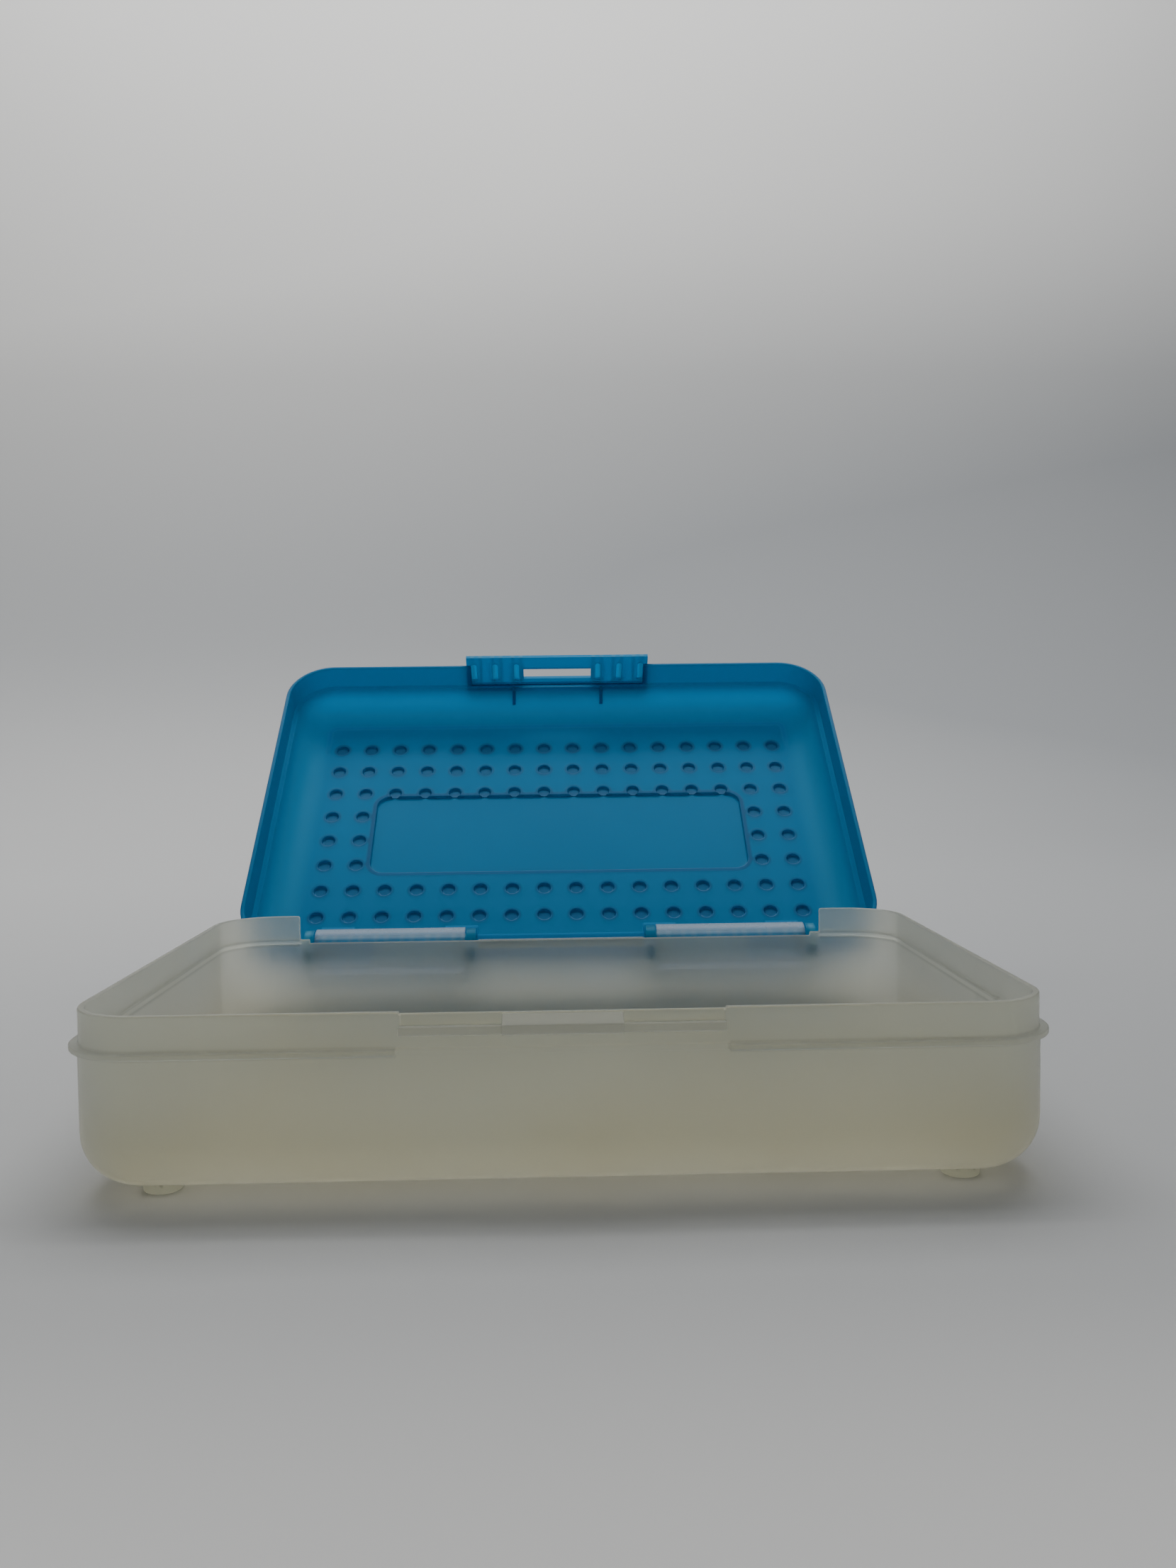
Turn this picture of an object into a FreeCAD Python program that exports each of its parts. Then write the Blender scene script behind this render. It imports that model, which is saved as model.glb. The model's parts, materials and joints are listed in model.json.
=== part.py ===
import FreeCAD, Part
import math
import os

import Sketcher

# Hinged storage case of two polypropylene mouldings: a frosted tray and a translucent lid that
# swings back on two snap-in barrels and closes over a front catch.
#
# Frame: X across the case, -Y towards the front catch, +Y towards the hinge, Z up.
# The origin is the middle of the tray, on the plane that its feet stand on.
# The lid and its parts are drawn shut and placed swung open against their stop.

DOCUMENT_NAME = "HingedCase"

# Driving dimensions in millimetres and degrees: alias, value, what it is.
SIZES = [
    ("case_width", 216.0, "over the tray's flange and the lid's skirt"),
    ("case_depth", 143.0, "over the tray's flange and the lid's skirt"),
    ("case_corner", 17.5, "corner radius of the flange and the skirt"),
    ("wall", 1.5, "moulded wall of the tray and the lid"),
    ("floor_thick", 1.5, "tray floor"),
    ("foot_height", 1.5, "feet below the tray's underside"),
    ("foot_diameter", 8.5, "round feet"),
    ("foot_edge", 0.4, "rounded lower edge of a foot"),
    ("foot_inset_side", 18.25, "foot centre in from the tray's side"),
    ("foot_inset_front", 12.25, "foot centre in from the tray's front"),
    ("body_inset", 1.75, "tray body in from the flange's edge"),
    ("collar_inset", 2.0, "collar in from the flange's edge"),
    ("base_round", 12.0, "rounding between the tray's sides and underside"),
    ("flange_height", 31.8, "underside of the flange above the table"),
    ("flange_thick", 1.3, "flange"),
    ("collar_rise", 7.7, "collar above the flange"),
    ("flange_gap_half", 35.2, "half the gap in the flange at the catch"),
    ("collar_dip", 0.4, "collar lower than elsewhere, at the catch"),
    ("ledge_half", 34.5, "half the catch ledge's width"),
    ("ledge_low", 3.0, "underside of the catch ledge above the flange"),
    ("ledge_thick", 1.9, "catch ledge"),
    ("nose_half", 12.8, "half the catch nose's width"),
    ("nose_bite", 0.9, "how far the nose reaches past the tab's inner face"),
    ("nose_lift", 0.2, "nose's lower edge above the ledge's"),
    ("nose_thick", 2.1, "height of the nose's upright face"),
    ("panel_sink", 0.5, "recess of the collar's face beside the nose"),
    ("panel_end_gap", 0.5, "recess short of the ledge's end"),
    ("rear_wall_drop", 1.0, "rear wall's top below the flange's top"),
    ("rear_step_rise", 0.2, "step beside the rear wall, above the flange's top"),
    ("rear_step_width", 3.0, "step between the rear wall and the full collar"),
    ("hinge_reach", 4.2, "hinge axis behind the lid's skirt"),
    ("hinge_drop", 3.8, "hinge axis below the lid's rim"),
    ("open_angle", 137.8, "lid's swing from shut to its stop, in degrees"),
    ("barrel_radius", 5.9, "outside of a hinge barrel"),
    ("pin_radius", 3.8, "hinge pin"),
    ("pin_play", 0.06, "radial play of the pin in its barrel"),
    ("snap_slot", 5.6, "slot that the pin snaps in through"),
    ("snap_angle", 45.0, "direction that the slot faces, above the rear, in degrees"),
    ("web_drop", 7.9, "lower end of the barrel's web, below the axis"),
    ("web_lap", 1.5, "web's top past the axis, towards the tray"),
    ("stop_reach", 9.5, "how far the stop fin reaches along the open lid"),
    ("stop_tip", 1.5, "stop fin's tip"),
    ("stop_root", 5.3, "stop fin's root above the axis"),
    ("stop_gap", 0.05, "stop fin to the open lid"),
    ("ear_thick", 3.0, "hinge ear"),
    ("ear_radius", 5.6, "hinge ear's round end"),
    ("ear_rise", 9.8, "ear's root up the skirt, above the rim"),
    ("ear_slope", 18.5, "where the ear's round end runs into its arm, above level, in degrees"),
    ("ear_gap", 0.5, "ear to barrel, along the axis"),
    ("hinge_middle_half", 27.5, "half the clear middle between the inner ears"),
    ("hinge_margin", 25.5, "outer ear in from the case's side"),
    ("barrel_swing_gap", 0.3, "lid's notch clear of the barrel"),
    ("rail_half", 26.5, "half the rail between the barrels"),
    ("rail_thick", 2.6, "rail's height"),
    ("rail_reach", 1.75, "rail behind the tray's body"),
    ("rim_gap", 0.1, "shut lid's rim above the flange"),
    ("skirt_height", 10.8, "skirt from its rim to the outer shelf"),
    ("shelf_inset", 2.0, "lid's upper wall in from the skirt"),
    ("lid_height", 22.04, "lid from its rim to its top"),
    ("lid_round", 14.0, "rounding between the lid's sides and top"),
    ("lip_depth", 3.4, "rear rim lip, front to back"),
    ("lip_height", 1.5, "rear rim lip"),
    ("pad_reach", 3.8, "rim pads in front of the lip"),
    ("pad_length", 11.0, "rim pads along the hinge"),
    ("lip_end_gap", 3.5, "lip short of the full collar"),
    ("front_rib_offset", 18.0, "ribs inside the front wall, from the middle"),
    ("front_rib_width", 1.2, "ribs inside the front wall"),
    ("front_rib_reach", 1.4, "ribs inside the front wall"),
    ("front_rib_low", 7.0, "ribs' lower end up the rounding, in degrees"),
    ("front_rib_high", 40.0, "ribs' upper end up the rounding, in degrees"),
    ("stud_diameter", 6.4, "studs on the lid"),
    ("stud_rise", 0.9, "studs and name panel above the lid's top"),
    ("stud_wall", 0.9, "side wall of a stud"),
    ("stud_margin_side", 21.0, "first stud in from the lid's side"),
    ("stud_margin_front", 28.2, "first stud in from the lid's front"),
    ("panel_lap_side", 7.4, "name panel past the last column it covers"),
    ("panel_lap_front", -1.06, "name panel past the front row it meets"),
    ("panel_lap_rear", 4.74, "name panel past the last row it covers"),
    ("panel_corner", 6.0, "name panel's corners"),
    ("panel_wall", 1.0, "side wall of the name panel"),
    ("tab_half", 37.2, "half the latch tab's width"),
    ("tab_gap", 0.5, "latch tab in front of the skirt's face"),
    ("tab_drop", 3.3, "tab's tip below the lid's rim"),
    ("tab_rise", 10.3, "tab's root above the lid's rim"),
    ("tab_opening_gap", 0.2, "skirt's opening past the flange's gap, each side"),
    ("window_half", 13.9, "half the tab's window"),
    ("window_low", 2.8, "window's lower edge above the rim"),
    ("window_high", 7.8, "window's upper edge above the rim"),
    ("rib_width", 4.8, "grip rib"),
    ("rib_rise", 1.2, "grip rib out of the tab"),
    ("rib_wall", 1.3, "grip rib's side wall"),
    ("rib_low", -1.2, "grip rib's lower end above the rim"),
    ("rib_high", 8.8, "grip rib's upper end above the rim"),
    ("rib_first", 2.9, "first rib's middle past the window"),
    ("rib_pitch", 8.7, "from rib to rib"),
    ("tab_return", 1.2, "tab's end returns"),
    ("return_low", 2.8, "end returns' lower end above the rim"),
]
STUD_COLUMNS = 16
STUD_ROWS = 8
COVERED_COLUMNS = 12
FRONT_ROWS = 3
COVERED_ROWS = 3
RIBS_PER_SIDE = 3
SIDES = {"left": -1, "right": 1}
ENDS = {"front": -1, "rear": 1}

# Places worked out from the driving dimensions, as expressions on the sheet.
HALF_WIDTH = "(Sheet.case_width / 2)"
HALF_DEPTH = "(Sheet.case_depth / 2)"
UNDERSIDE = "Sheet.foot_height"
FLOOR_TOP = "(Sheet.foot_height + Sheet.floor_thick)"
FLANGE_TOP = "(Sheet.flange_height + Sheet.flange_thick)"
COLLAR_TOP = f"({FLANGE_TOP} + Sheet.collar_rise)"
LEDGE_LOW = f"({FLANGE_TOP} + Sheet.ledge_low)"
LEDGE_TOP = f"({LEDGE_LOW} + Sheet.ledge_thick)"
BODY_BACK = f"({HALF_DEPTH} - Sheet.body_inset)"
COLLAR_BACK = f"({HALF_DEPTH} - Sheet.collar_inset)"
COLLAR_INSIDE = f"({COLLAR_BACK} - 2 * Sheet.wall)"
CATCH_TOP = f"({COLLAR_TOP} - Sheet.collar_dip)"
REAR_WALL_TOP = f"({FLANGE_TOP} - Sheet.rear_wall_drop)"
RIM = f"({FLANGE_TOP} + Sheet.rim_gap)"
HINGE_Y = f"({HALF_DEPTH} + Sheet.hinge_reach)"
HINGE_Z = f"({RIM} - Sheet.hinge_drop)"
OUTER_EAR = f"({HALF_WIDTH} - Sheet.hinge_margin)"
BARREL_START = "(Sheet.hinge_middle_half + Sheet.ear_thick + Sheet.ear_gap)"
BARREL_END = f"({OUTER_EAR} - Sheet.ear_thick - Sheet.ear_gap)"
REAR_GAP_HALF = f"({OUTER_EAR} + Sheet.ear_gap)"
LID_TOP = f"({RIM} + Sheet.lid_height)"
LID_INNER_TOP = f"({LID_TOP} - Sheet.wall)"
TAB_INNER = f"({HALF_DEPTH} + Sheet.tab_gap)"
TAB_OUTER = f"({TAB_INNER} + Sheet.wall)"
TAB_ROOT = f"({RIM} + Sheet.tab_rise)"
STUD_PITCH_X = f"((Sheet.case_width - 2 * Sheet.stud_margin_side) / {STUD_COLUMNS - 1})"
STUD_PITCH_Y = f"((Sheet.case_depth - 2 * Sheet.stud_margin_front) / {STUD_ROWS - 1})"
OPEN_TURN = "(Sheet.open_angle * 1deg)"


doc = FreeCAD.newDocument(DOCUMENT_NAME)
sheet = doc.addObject("Spreadsheet::Sheet", "Sheet")
for row, (alias, value, meaning) in enumerate(SIZES, start=1):
    sheet.set(f"A{row}", meaning)
    sheet.set(f"B{row}", str(value))
    sheet.setAlias(f"B{row}", alias)
doc.recompute()


def measure(expression):
    """The present value of an expression on the sheet."""
    value = sheet.evalExpression(expression.replace("Sheet.", ""))
    return float(getattr(value, "Value", value))


def minus(expression):
    return f"(-{expression})"


def sided(sign, expression):
    return expression if sign > 0 else minus(expression)


class Outline:
    """A sketch on one of a body's own origin planes, with its places bound to the sheet."""

    def __init__(self, body, name, plane, offset):
        self.sketch = body.newObject("Sketcher::SketchObject", name)
        origin_plane = next(f for f in body.Origin.OriginFeatures if f.Role == plane)
        self.sketch.AttachmentSupport = (origin_plane, [""])
        self.sketch.MapMode = "FlatFace"
        self.sketch.setExpression("AttachmentOffset.Base.z", offset)

    def add(self, *constraint):
        return self.sketch.addConstraint(Sketcher.Constraint(*constraint))

    def bind(self, kind, where, expression):
        index = self.add(kind, *where, measure(expression))
        self.sketch.setExpression(f"Constraints[{index}]", expression)

    def line(self, start, end):
        points = [FreeCAD.Vector(u, v, 0) for u, v in (start, end)]
        return self.sketch.addGeometry(Part.LineSegment(*points))

    def pin_point(self, geometry, end, u, v):
        self.bind("DistanceX", (-1, 1, geometry, end), u)
        self.bind("DistanceY", (-1, 1, geometry, end), v)

    def polygon(self, points):
        """A closed outline through points that are pairs of expressions."""
        places = [(measure(u), measure(v)) for u, v in points]
        after = places[1:] + places[:1]
        lines = [self.line(start, end) for start, end in zip(places, after)]
        for first, second in zip(lines, lines[1:] + lines[:1]):
            self.add("Coincident", first, 2, second, 1)
        for geometry, (u, v) in zip(lines, points):
            self.pin_point(geometry, 1, u, v)
        return self

    def rectangle(self, left, right, low, high):
        """Four lines held level and upright between four bound places."""
        u0, u1, v0, v1 = [measure(place) for place in (left, right, low, high)]
        corners = [(u0, v0), (u1, v0), (u1, v1), (u0, v1)]
        lines = [self.line(a, b) for a, b in zip(corners, corners[1:] + corners[:1])]
        for first, second in zip(lines, lines[1:] + lines[:1]):
            self.add("Coincident", first, 2, second, 1)
        for kind, pair in (("Horizontal", lines[0::2]), ("Vertical", lines[1::2])):
            for geometry in pair:
                self.add(kind, geometry)
        self.bind("DistanceY", (-1, 1, lines[0], 1), low)
        self.bind("DistanceY", (-1, 1, lines[2], 1), high)
        self.bind("DistanceX", (-1, 1, lines[1], 1), right)
        self.bind("DistanceX", (-1, 1, lines[3], 1), left)
        return self

    def rounded(self, left, right, low, high, radius):
        """A rectangle with four equal tangent corners."""
        u0, u1, v0, v1, r = [measure(e) for e in (left, right, low, high, radius)]
        sides = [((u0 + r, v0), (u1 - r, v0)), ((u1, v0 + r), (u1, v1 - r))]
        sides += [((u1 - r, v1), (u0 + r, v1)), ((u0, v1 - r), (u0, v0 + r))]
        centres = [(u1 - r, v0 + r), (u1 - r, v1 - r), (u0 + r, v1 - r), (u0 + r, v0 + r)]
        lines = [self.line(*side) for side in sides]
        arcs = []
        quarter = math.pi / 2
        for index, (u, v) in enumerate(centres):
            circle = Part.Circle(FreeCAD.Vector(u, v, 0), FreeCAD.Vector(0, 0, 1), r)
            arc = Part.ArcOfCircle(circle, (index - 1) * quarter, index * quarter)
            arcs.append(self.sketch.addGeometry(arc))
        for index, arc in enumerate(arcs):
            self.add("Tangent", lines[index], 2, arc, 1)
            self.add("Tangent", arc, 2, lines[(index + 1) % 4], 1)
        for kind, pair in (("Horizontal", lines[0::2]), ("Vertical", lines[1::2])):
            for geometry in pair:
                self.add(kind, geometry)
        for arc in arcs[1:]:
            self.add("Equal", arcs[0], arc)
        self.bind("Radius", (arcs[0],), radius)
        self.bind("DistanceY", (-1, 1, lines[0], 1), low)
        self.bind("DistanceY", (-1, 1, lines[2], 1), high)
        self.bind("DistanceX", (-1, 1, lines[1], 1), right)
        self.bind("DistanceX", (-1, 1, lines[3], 1), left)
        return self

    def circle(self, u, v, radius):
        centre = FreeCAD.Vector(measure(u), measure(v), 0)
        circle = Part.Circle(centre, FreeCAD.Vector(0, 0, 1), measure(radius))
        geometry = self.sketch.addGeometry(circle)
        self.bind("Radius", (geometry,), radius)
        self.pin_point(geometry, 3, u, v)
        return self

    def channel(self, middle, half, low, high):
        """An upright slot outline: a round lower end and a square upper end."""
        u, h, v0, v1 = [measure(e) for e in (middle, half, low, high)]
        bend = f"({low} + {half})"
        v = measure(bend)
        left, right = f"({middle} - {half})", f"({middle} + {half})"
        lines = [self.line((u + h, v), (u + h, v1))]
        lines.append(self.line((u + h, v1), (u - h, v1)))
        lines.append(self.line((u - h, v1), (u - h, v)))
        circle = Part.Circle(FreeCAD.Vector(u, v, 0), FreeCAD.Vector(0, 0, 1), h)
        arc = self.sketch.addGeometry(Part.ArcOfCircle(circle, math.pi, 2 * math.pi))
        self.add("Coincident", lines[0], 2, lines[1], 1)
        self.add("Coincident", lines[1], 2, lines[2], 1)
        self.add("Coincident", lines[2], 2, arc, 1)
        self.add("Coincident", arc, 2, lines[0], 1)
        self.pin_point(lines[0], 1, right, bend)
        self.pin_point(lines[0], 2, right, high)
        self.pin_point(lines[2], 1, left, high)
        self.pin_point(lines[2], 2, left, bend)
        self.bind("DistanceY", (-1, 1, arc, 3), bend)
        return self


def new_body(label):
    body = doc.addObject("PartDesign::Body", label.title().replace("_", ""))
    body.Label = label
    return body


def last_feature(body, kind, name, outline):
    feature = body.newObject(f"PartDesign::{kind}", name)
    feature.Profile = outline.sketch
    outline.sketch.Visibility = False
    return feature


def pad(body, name, outline, length, back=False):
    """Adds the outline's prism, along the plane's normal or back against it."""
    feature = last_feature(body, "Pad", name, outline)
    feature.setExpression("Length", length)
    feature.Reversed = back
    doc.recompute()
    return feature


def pocket(body, name, outline, length, along=False):
    """Cuts the outline's prism, against the plane's normal or along it."""
    before = body.Shape.Volume
    feature = last_feature(body, "Pocket", name, outline)
    feature.setExpression("Length", length)
    feature.Reversed = along
    doc.recompute()
    if not body.Shape.Volume < before:
        raise ValueError(f"{name} cuts nothing from {body.Label}")
    return feature


def round_edges(body, name, radius, chosen):
    """Rounds the edges of the body's present shape that the test picks."""
    tip = body.Tip
    edges = tip.Shape.Edges
    names = [f"Edge{i}" for i, edge in enumerate(edges, start=1) if chosen(edge)]
    feature = body.newObject("PartDesign::Fillet", name)
    feature.Base = (tip, names)
    feature.setExpression("Radius", radius)
    doc.recompute()
    return feature


def level(height):
    """A test for edges that lie at one height."""
    place = measure(height)

    def chosen(edge):
        box = edge.BoundBox
        return abs(box.ZMin - place) < 1e-4 and abs(box.ZMax - place) < 1e-4

    return chosen


def add_case_loop(outline, inset):
    """Adds the case's rounded outline, a distance in from the flange's edge."""
    half_x, half_y = f"({HALF_WIDTH} - {inset})", f"({HALF_DEPTH} - {inset})"
    corner = f"(Sheet.case_corner - {inset})"
    return outline.rounded(minus(half_x), half_x, minus(half_y), half_y, corner)


def case_outline(body, name, height, inset):
    """The case's outline on a level plane, a distance in from the flange's edge."""
    return add_case_loop(Outline(body, name, "XY_Plane", height), inset)


def across(body, name, start):
    """An outline on an upright plane across the case, whose u is Y and v is Z."""
    return Outline(body, name, "YZ_Plane", start)


def facing_front(body, name, distance):
    """An outline on a plane a distance in front of the middle, whose u is X and v is Z."""
    return Outline(body, name, "XZ_Plane", distance)


def block(body, name, x_range, y_range, z_range, cut=False):
    """A plain block, added to the body or cut from it."""
    low, high = z_range
    outline = Outline(body, f"{name}Outline", "XY_Plane", low)
    outline.rectangle(*x_range, *y_range)
    length = f"({high} - {low})"
    if cut:
        return pocket(body, name, outline, length, along=True)
    return pad(body, name, outline, length)


def span(sign, near, far):
    """A stretch of X on one side of the middle, in rising order."""
    return (near, far) if sign > 0 else (minus(far), minus(near))


def add_tray_walls(body):
    """The tray's outside below the flange, still with a sharp underside."""
    walls = case_outline(body, "WallsOutline", UNDERSIDE, "Sheet.body_inset")
    pad(body, "Walls", walls, f"(Sheet.flange_height - {UNDERSIDE})")


def round_underside(body):
    round_edges(body, "Underside", "Sheet.base_round", level(UNDERSIDE))


def add_front_details(body):
    """The flange's gap and the dipped, recessed stretch of collar at the catch."""
    outside = f"({HALF_DEPTH} + Sheet.wall)"
    gap = (minus("Sheet.flange_gap_half"), "Sheet.flange_gap_half")
    front = (minus(outside), minus(BODY_BACK))
    block(body, "FlangeGap", gap, front, ("Sheet.flange_height", FLANGE_TOP), cut=True)
    ledge = (minus("Sheet.ledge_half"), "Sheet.ledge_half")
    collar_front = (minus(outside), minus(COLLAR_INSIDE))
    block(body, "CollarDip", ledge, collar_front, (CATCH_TOP, COLLAR_TOP), cut=True)
    sunk = (minus(outside), minus(f"({COLLAR_BACK} - Sheet.panel_sink)"))
    for name, sign in SIDES.items():
        recess = span(sign, "Sheet.nose_half", "(Sheet.ledge_half - Sheet.panel_end_gap)")
        block(body, f"Recess{name.title()}", recess, sunk, (LEDGE_TOP, COLLAR_TOP), cut=True)


def add_rear_details(body):
    """The low rear wall between the full collar's ends, with a step at each side."""
    outside = f"({HALF_DEPTH} + Sheet.wall)"
    rear_gap = (minus(REAR_GAP_HALF), REAR_GAP_HALF)
    behind = (BODY_BACK, outside)
    block(body, "RearFlangeGap", rear_gap, behind, ("Sheet.flange_height", FLANGE_TOP), cut=True)
    step_top = f"({FLANGE_TOP} + Sheet.rear_step_rise)"
    collar_rear = (COLLAR_INSIDE, outside)
    block(body, "RearStep", rear_gap, collar_rear, (step_top, COLLAR_TOP), cut=True)
    low_half = f"({REAR_GAP_HALF} - Sheet.rear_step_width)"
    low = (minus(low_half), low_half)
    block(body, "RearWall", low, collar_rear, (REAR_WALL_TOP, step_top), cut=True)


def make_tray():
    """The open tray: rounded walls, a flange all round and a collar that the lid closes over."""
    body = new_body("base_tray")
    add_tray_walls(body)
    flange = case_outline(body, "FlangeOutline", "Sheet.flange_height", "0")
    pad(body, "Flange", flange, "Sheet.flange_thick")
    collar = case_outline(body, "CollarOutline", FLANGE_TOP, "Sheet.collar_inset")
    pad(body, "Collar", collar, "Sheet.collar_rise")
    inset = "(Sheet.collar_inset + Sheet.wall)"
    cavity = case_outline(body, "CavityOutline", COLLAR_TOP, inset)
    pocket(body, "Cavity", cavity, f"({COLLAR_TOP} - {FLOOR_TOP})")
    round_edges(body, "CavityFloor", "(Sheet.base_round - Sheet.floor_thick)", level(FLOOR_TOP))
    round_underside(body)
    add_front_details(body)
    add_rear_details(body)
    return [body]


def make_feet():
    """Four round feet, each cut to the tray's rounded underside."""
    form = new_body("tray_form")
    add_tray_walls(form)
    round_underside(form)
    feet = []
    for end, end_sign in ENDS.items():
        for side, side_sign in SIDES.items():
            body = new_body(f"foot_blank_{end}_{side}")
            x = f"({HALF_WIDTH} - Sheet.body_inset - Sheet.foot_inset_side)"
            y = f"({BODY_BACK} - Sheet.foot_inset_front)"
            disc = Outline(body, "Disc", "XY_Plane", "0")
            disc.circle(sided(side_sign, x), sided(end_sign, y), "(Sheet.foot_diameter / 2)")
            pad(body, "Foot", disc, "(Sheet.foot_height + Sheet.floor_thick)")
            round_edges(body, "FootEdge", "Sheet.foot_edge", level("0"))
            foot = doc.addObject("Part::Cut", f"Foot{end.title()}{side.title()}")
            foot.Base = body
            foot.Tool = form
            foot.Label = f"foot_{end}_{side}"
            feet.append(foot)
    return feet


def make_catch():
    """The ledge across the collar's front, with the snap nose at its middle."""
    body = new_body("latch_catch")
    ledge = (minus("Sheet.ledge_half"), "Sheet.ledge_half")
    block(body, "Ledge", ledge, (minus(HALF_DEPTH), minus(COLLAR_BACK)), (LEDGE_LOW, LEDGE_TOP))
    face = f"({TAB_INNER} + Sheet.nose_bite)"
    low = f"({LEDGE_LOW} + Sheet.nose_lift)"
    high = f"({low} + Sheet.nose_thick)"
    nose = across(body, "NoseOutline", minus("Sheet.nose_half"))
    nose.polygon(
        [
            (minus(COLLAR_BACK), low),
            (minus(COLLAR_BACK), CATCH_TOP),
            (minus(face), high),
            (minus(face), low),
        ]
    )
    pad(body, "Nose", nose, "(2 * Sheet.nose_half)")
    return [body]


def open_point(along_y, along_z):
    """Where a point of the shut lid, given from the hinge axis, stands on the open lid."""
    y = f"({HINGE_Y} + {along_y} * cos({OPEN_TURN}) + {along_z} * sin({OPEN_TURN}))"
    z = f"({HINGE_Z} - {along_y} * sin({OPEN_TURN}) + {along_z} * cos({OPEN_TURN}))"
    return y, z


def make_barrels():
    """Two C-shaped hinge barrels, each with its web to the tray and a fin that stops the lid."""
    barrels = []
    length = f"({BARREL_END} - {BARREL_START})"
    for side, sign in SIDES.items():
        body = new_body(f"hinge_barrel_{side}")
        start = span(sign, BARREL_START, BARREL_END)[0]
        web = across(body, "WebOutline", start)
        bottom = f"({HINGE_Z} - Sheet.barrel_radius)"
        inside_barrel = f"({HINGE_Y} - Sheet.web_lap)"
        web.polygon(
            [
                (BODY_BACK, REAR_WALL_TOP),
                (BODY_BACK, f"({HINGE_Z} - Sheet.web_drop)"),
                (HINGE_Y, bottom),
                (inside_barrel, REAR_WALL_TOP),
            ]
        )
        pad(body, "Web", web, length)
        barrel = across(body, "BarrelOutline", start)
        pad(body, "Barrel", barrel.circle(HINGE_Y, HINGE_Z, "Sheet.barrel_radius"), length)
        face = minus("(Sheet.hinge_reach - Sheet.stop_gap)")
        under = f"({face} + Sheet.stop_tip)"
        fin = across(body, "StopFinOutline", start)
        fin.polygon(
            [
                open_point(face, "(Sheet.barrel_radius / 2)"),
                open_point(face, "Sheet.stop_reach"),
                open_point(under, "Sheet.stop_reach"),
                open_point("0", "Sheet.stop_root"),
            ]
        )
        pad(body, "StopFin", fin, length)
        bore = across(body, "BoreOutline", start)
        bore.circle(HINGE_Y, HINGE_Z, "(Sheet.pin_radius + Sheet.pin_play)")
        pocket(body, "Bore", bore, length, along=True)
        half, turn = "(Sheet.snap_slot / 2)", "(Sheet.snap_angle * 1deg)"
        slot = across(body, "SlotOutline", start)
        corners = [("0", minus(half)), ("(2 * Sheet.barrel_radius)", minus(half))]
        corners += [("(2 * Sheet.barrel_radius)", half), ("0", half)]
        slot.polygon(
            [
                (
                    f"({HINGE_Y} + {out} * cos({turn}) - {off} * sin({turn}))",
                    f"({HINGE_Z} + {out} * sin({turn}) + {off} * cos({turn}))",
                )
                for out, off in corners
            ]
        )
        pocket(body, "SnapSlot", slot, length, along=True)
        barrels.append(body)
    return barrels


def make_rail():
    """The stiffening rail along the low rear wall, between the two hinges."""
    body = new_body("rear_rail")
    middle = (minus("Sheet.rail_half"), "Sheet.rail_half")
    back = (BODY_BACK, f"({BODY_BACK} + Sheet.rail_reach)")
    block(body, "Rail", middle, back, (f"({REAR_WALL_TOP} - Sheet.rail_thick)", REAR_WALL_TOP))
    return [body]


def add_studs(body):
    """Hollow studs in rows and columns, left out where the name panel stands."""
    first_x = f"({HALF_WIDTH} - Sheet.stud_margin_side)"
    first_y = f"({HALF_DEPTH} - Sheet.stud_margin_front)"
    side_columns = (STUD_COLUMNS - COVERED_COLUMNS) // 2
    rear_rows = STUD_ROWS - FRONT_ROWS - COVERED_ROWS
    skip_x = f"({STUD_COLUMNS - side_columns} * {STUD_PITCH_X})"
    middle_y = f"({FRONT_ROWS} * {STUD_PITCH_Y})"
    rear_y = f"({FRONT_ROWS + COVERED_ROWS} * {STUD_PITCH_Y})"
    fields = {
        "Front": ("0", "0", STUD_COLUMNS, FRONT_ROWS),
        "Rear": ("0", rear_y, STUD_COLUMNS, rear_rows),
        "Left": ("0", middle_y, side_columns, COVERED_ROWS),
        "Right": (skip_x, middle_y, side_columns, COVERED_ROWS),
    }
    for name, (shift_x, shift_y, columns, rows) in fields.items():
        x = f"({shift_x} - {first_x})"
        y = f"({shift_y} - {first_y})"
        rim = Outline(body, f"Stud{name}Outline", "XY_Plane", LID_INNER_TOP)
        rim.circle(x, y, "(Sheet.stud_diameter / 2)")
        stud = pad(body, f"Stud{name}", rim, "(Sheet.wall + Sheet.stud_rise)")
        repeat(body, f"Studs{name}", stud, columns, rows)
        hollow = Outline(body, f"Hollow{name}Outline", "XY_Plane", LID_INNER_TOP)
        hollow.circle(x, y, "(Sheet.stud_diameter / 2 - Sheet.stud_wall)")
        dent = pocket(body, f"Hollow{name}", hollow, "Sheet.stud_rise", along=True)
        repeat(body, f"Hollows{name}", dent, columns, rows)


def repeat(body, name, feature, columns, rows):
    """Repeats one feature over a field of columns and rows."""
    field = body.newObject("PartDesign::MultiTransform", name)
    field.Originals = [feature]
    steps = []
    axes = {"X_Axis": (columns, STUD_PITCH_X), "Y_Axis": (rows, STUD_PITCH_Y)}
    for role, (count, pitch) in axes.items():
        axis = next(f for f in body.Origin.OriginFeatures if f.Role == role)
        step = body.newObject("PartDesign::LinearPattern", f"{name}{role[0]}")
        step.Direction = (axis, [""])
        step.Occurrences = count
        step.setExpression("Length", f"({count - 1} * {pitch})")
        steps.append(step)
    field.Transformations = steps
    body.Tip = field
    doc.recompute()


def on_front_round(radius, angle):
    """A point on the rounding over the lid's front wall, an angle up from level."""
    y = f"({COLLAR_BACK} - Sheet.lid_round + {radius} * cos({angle} * 1deg))"
    return minus(y), f"({LID_TOP} - Sheet.lid_round + {radius} * sin({angle} * 1deg))"


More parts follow.
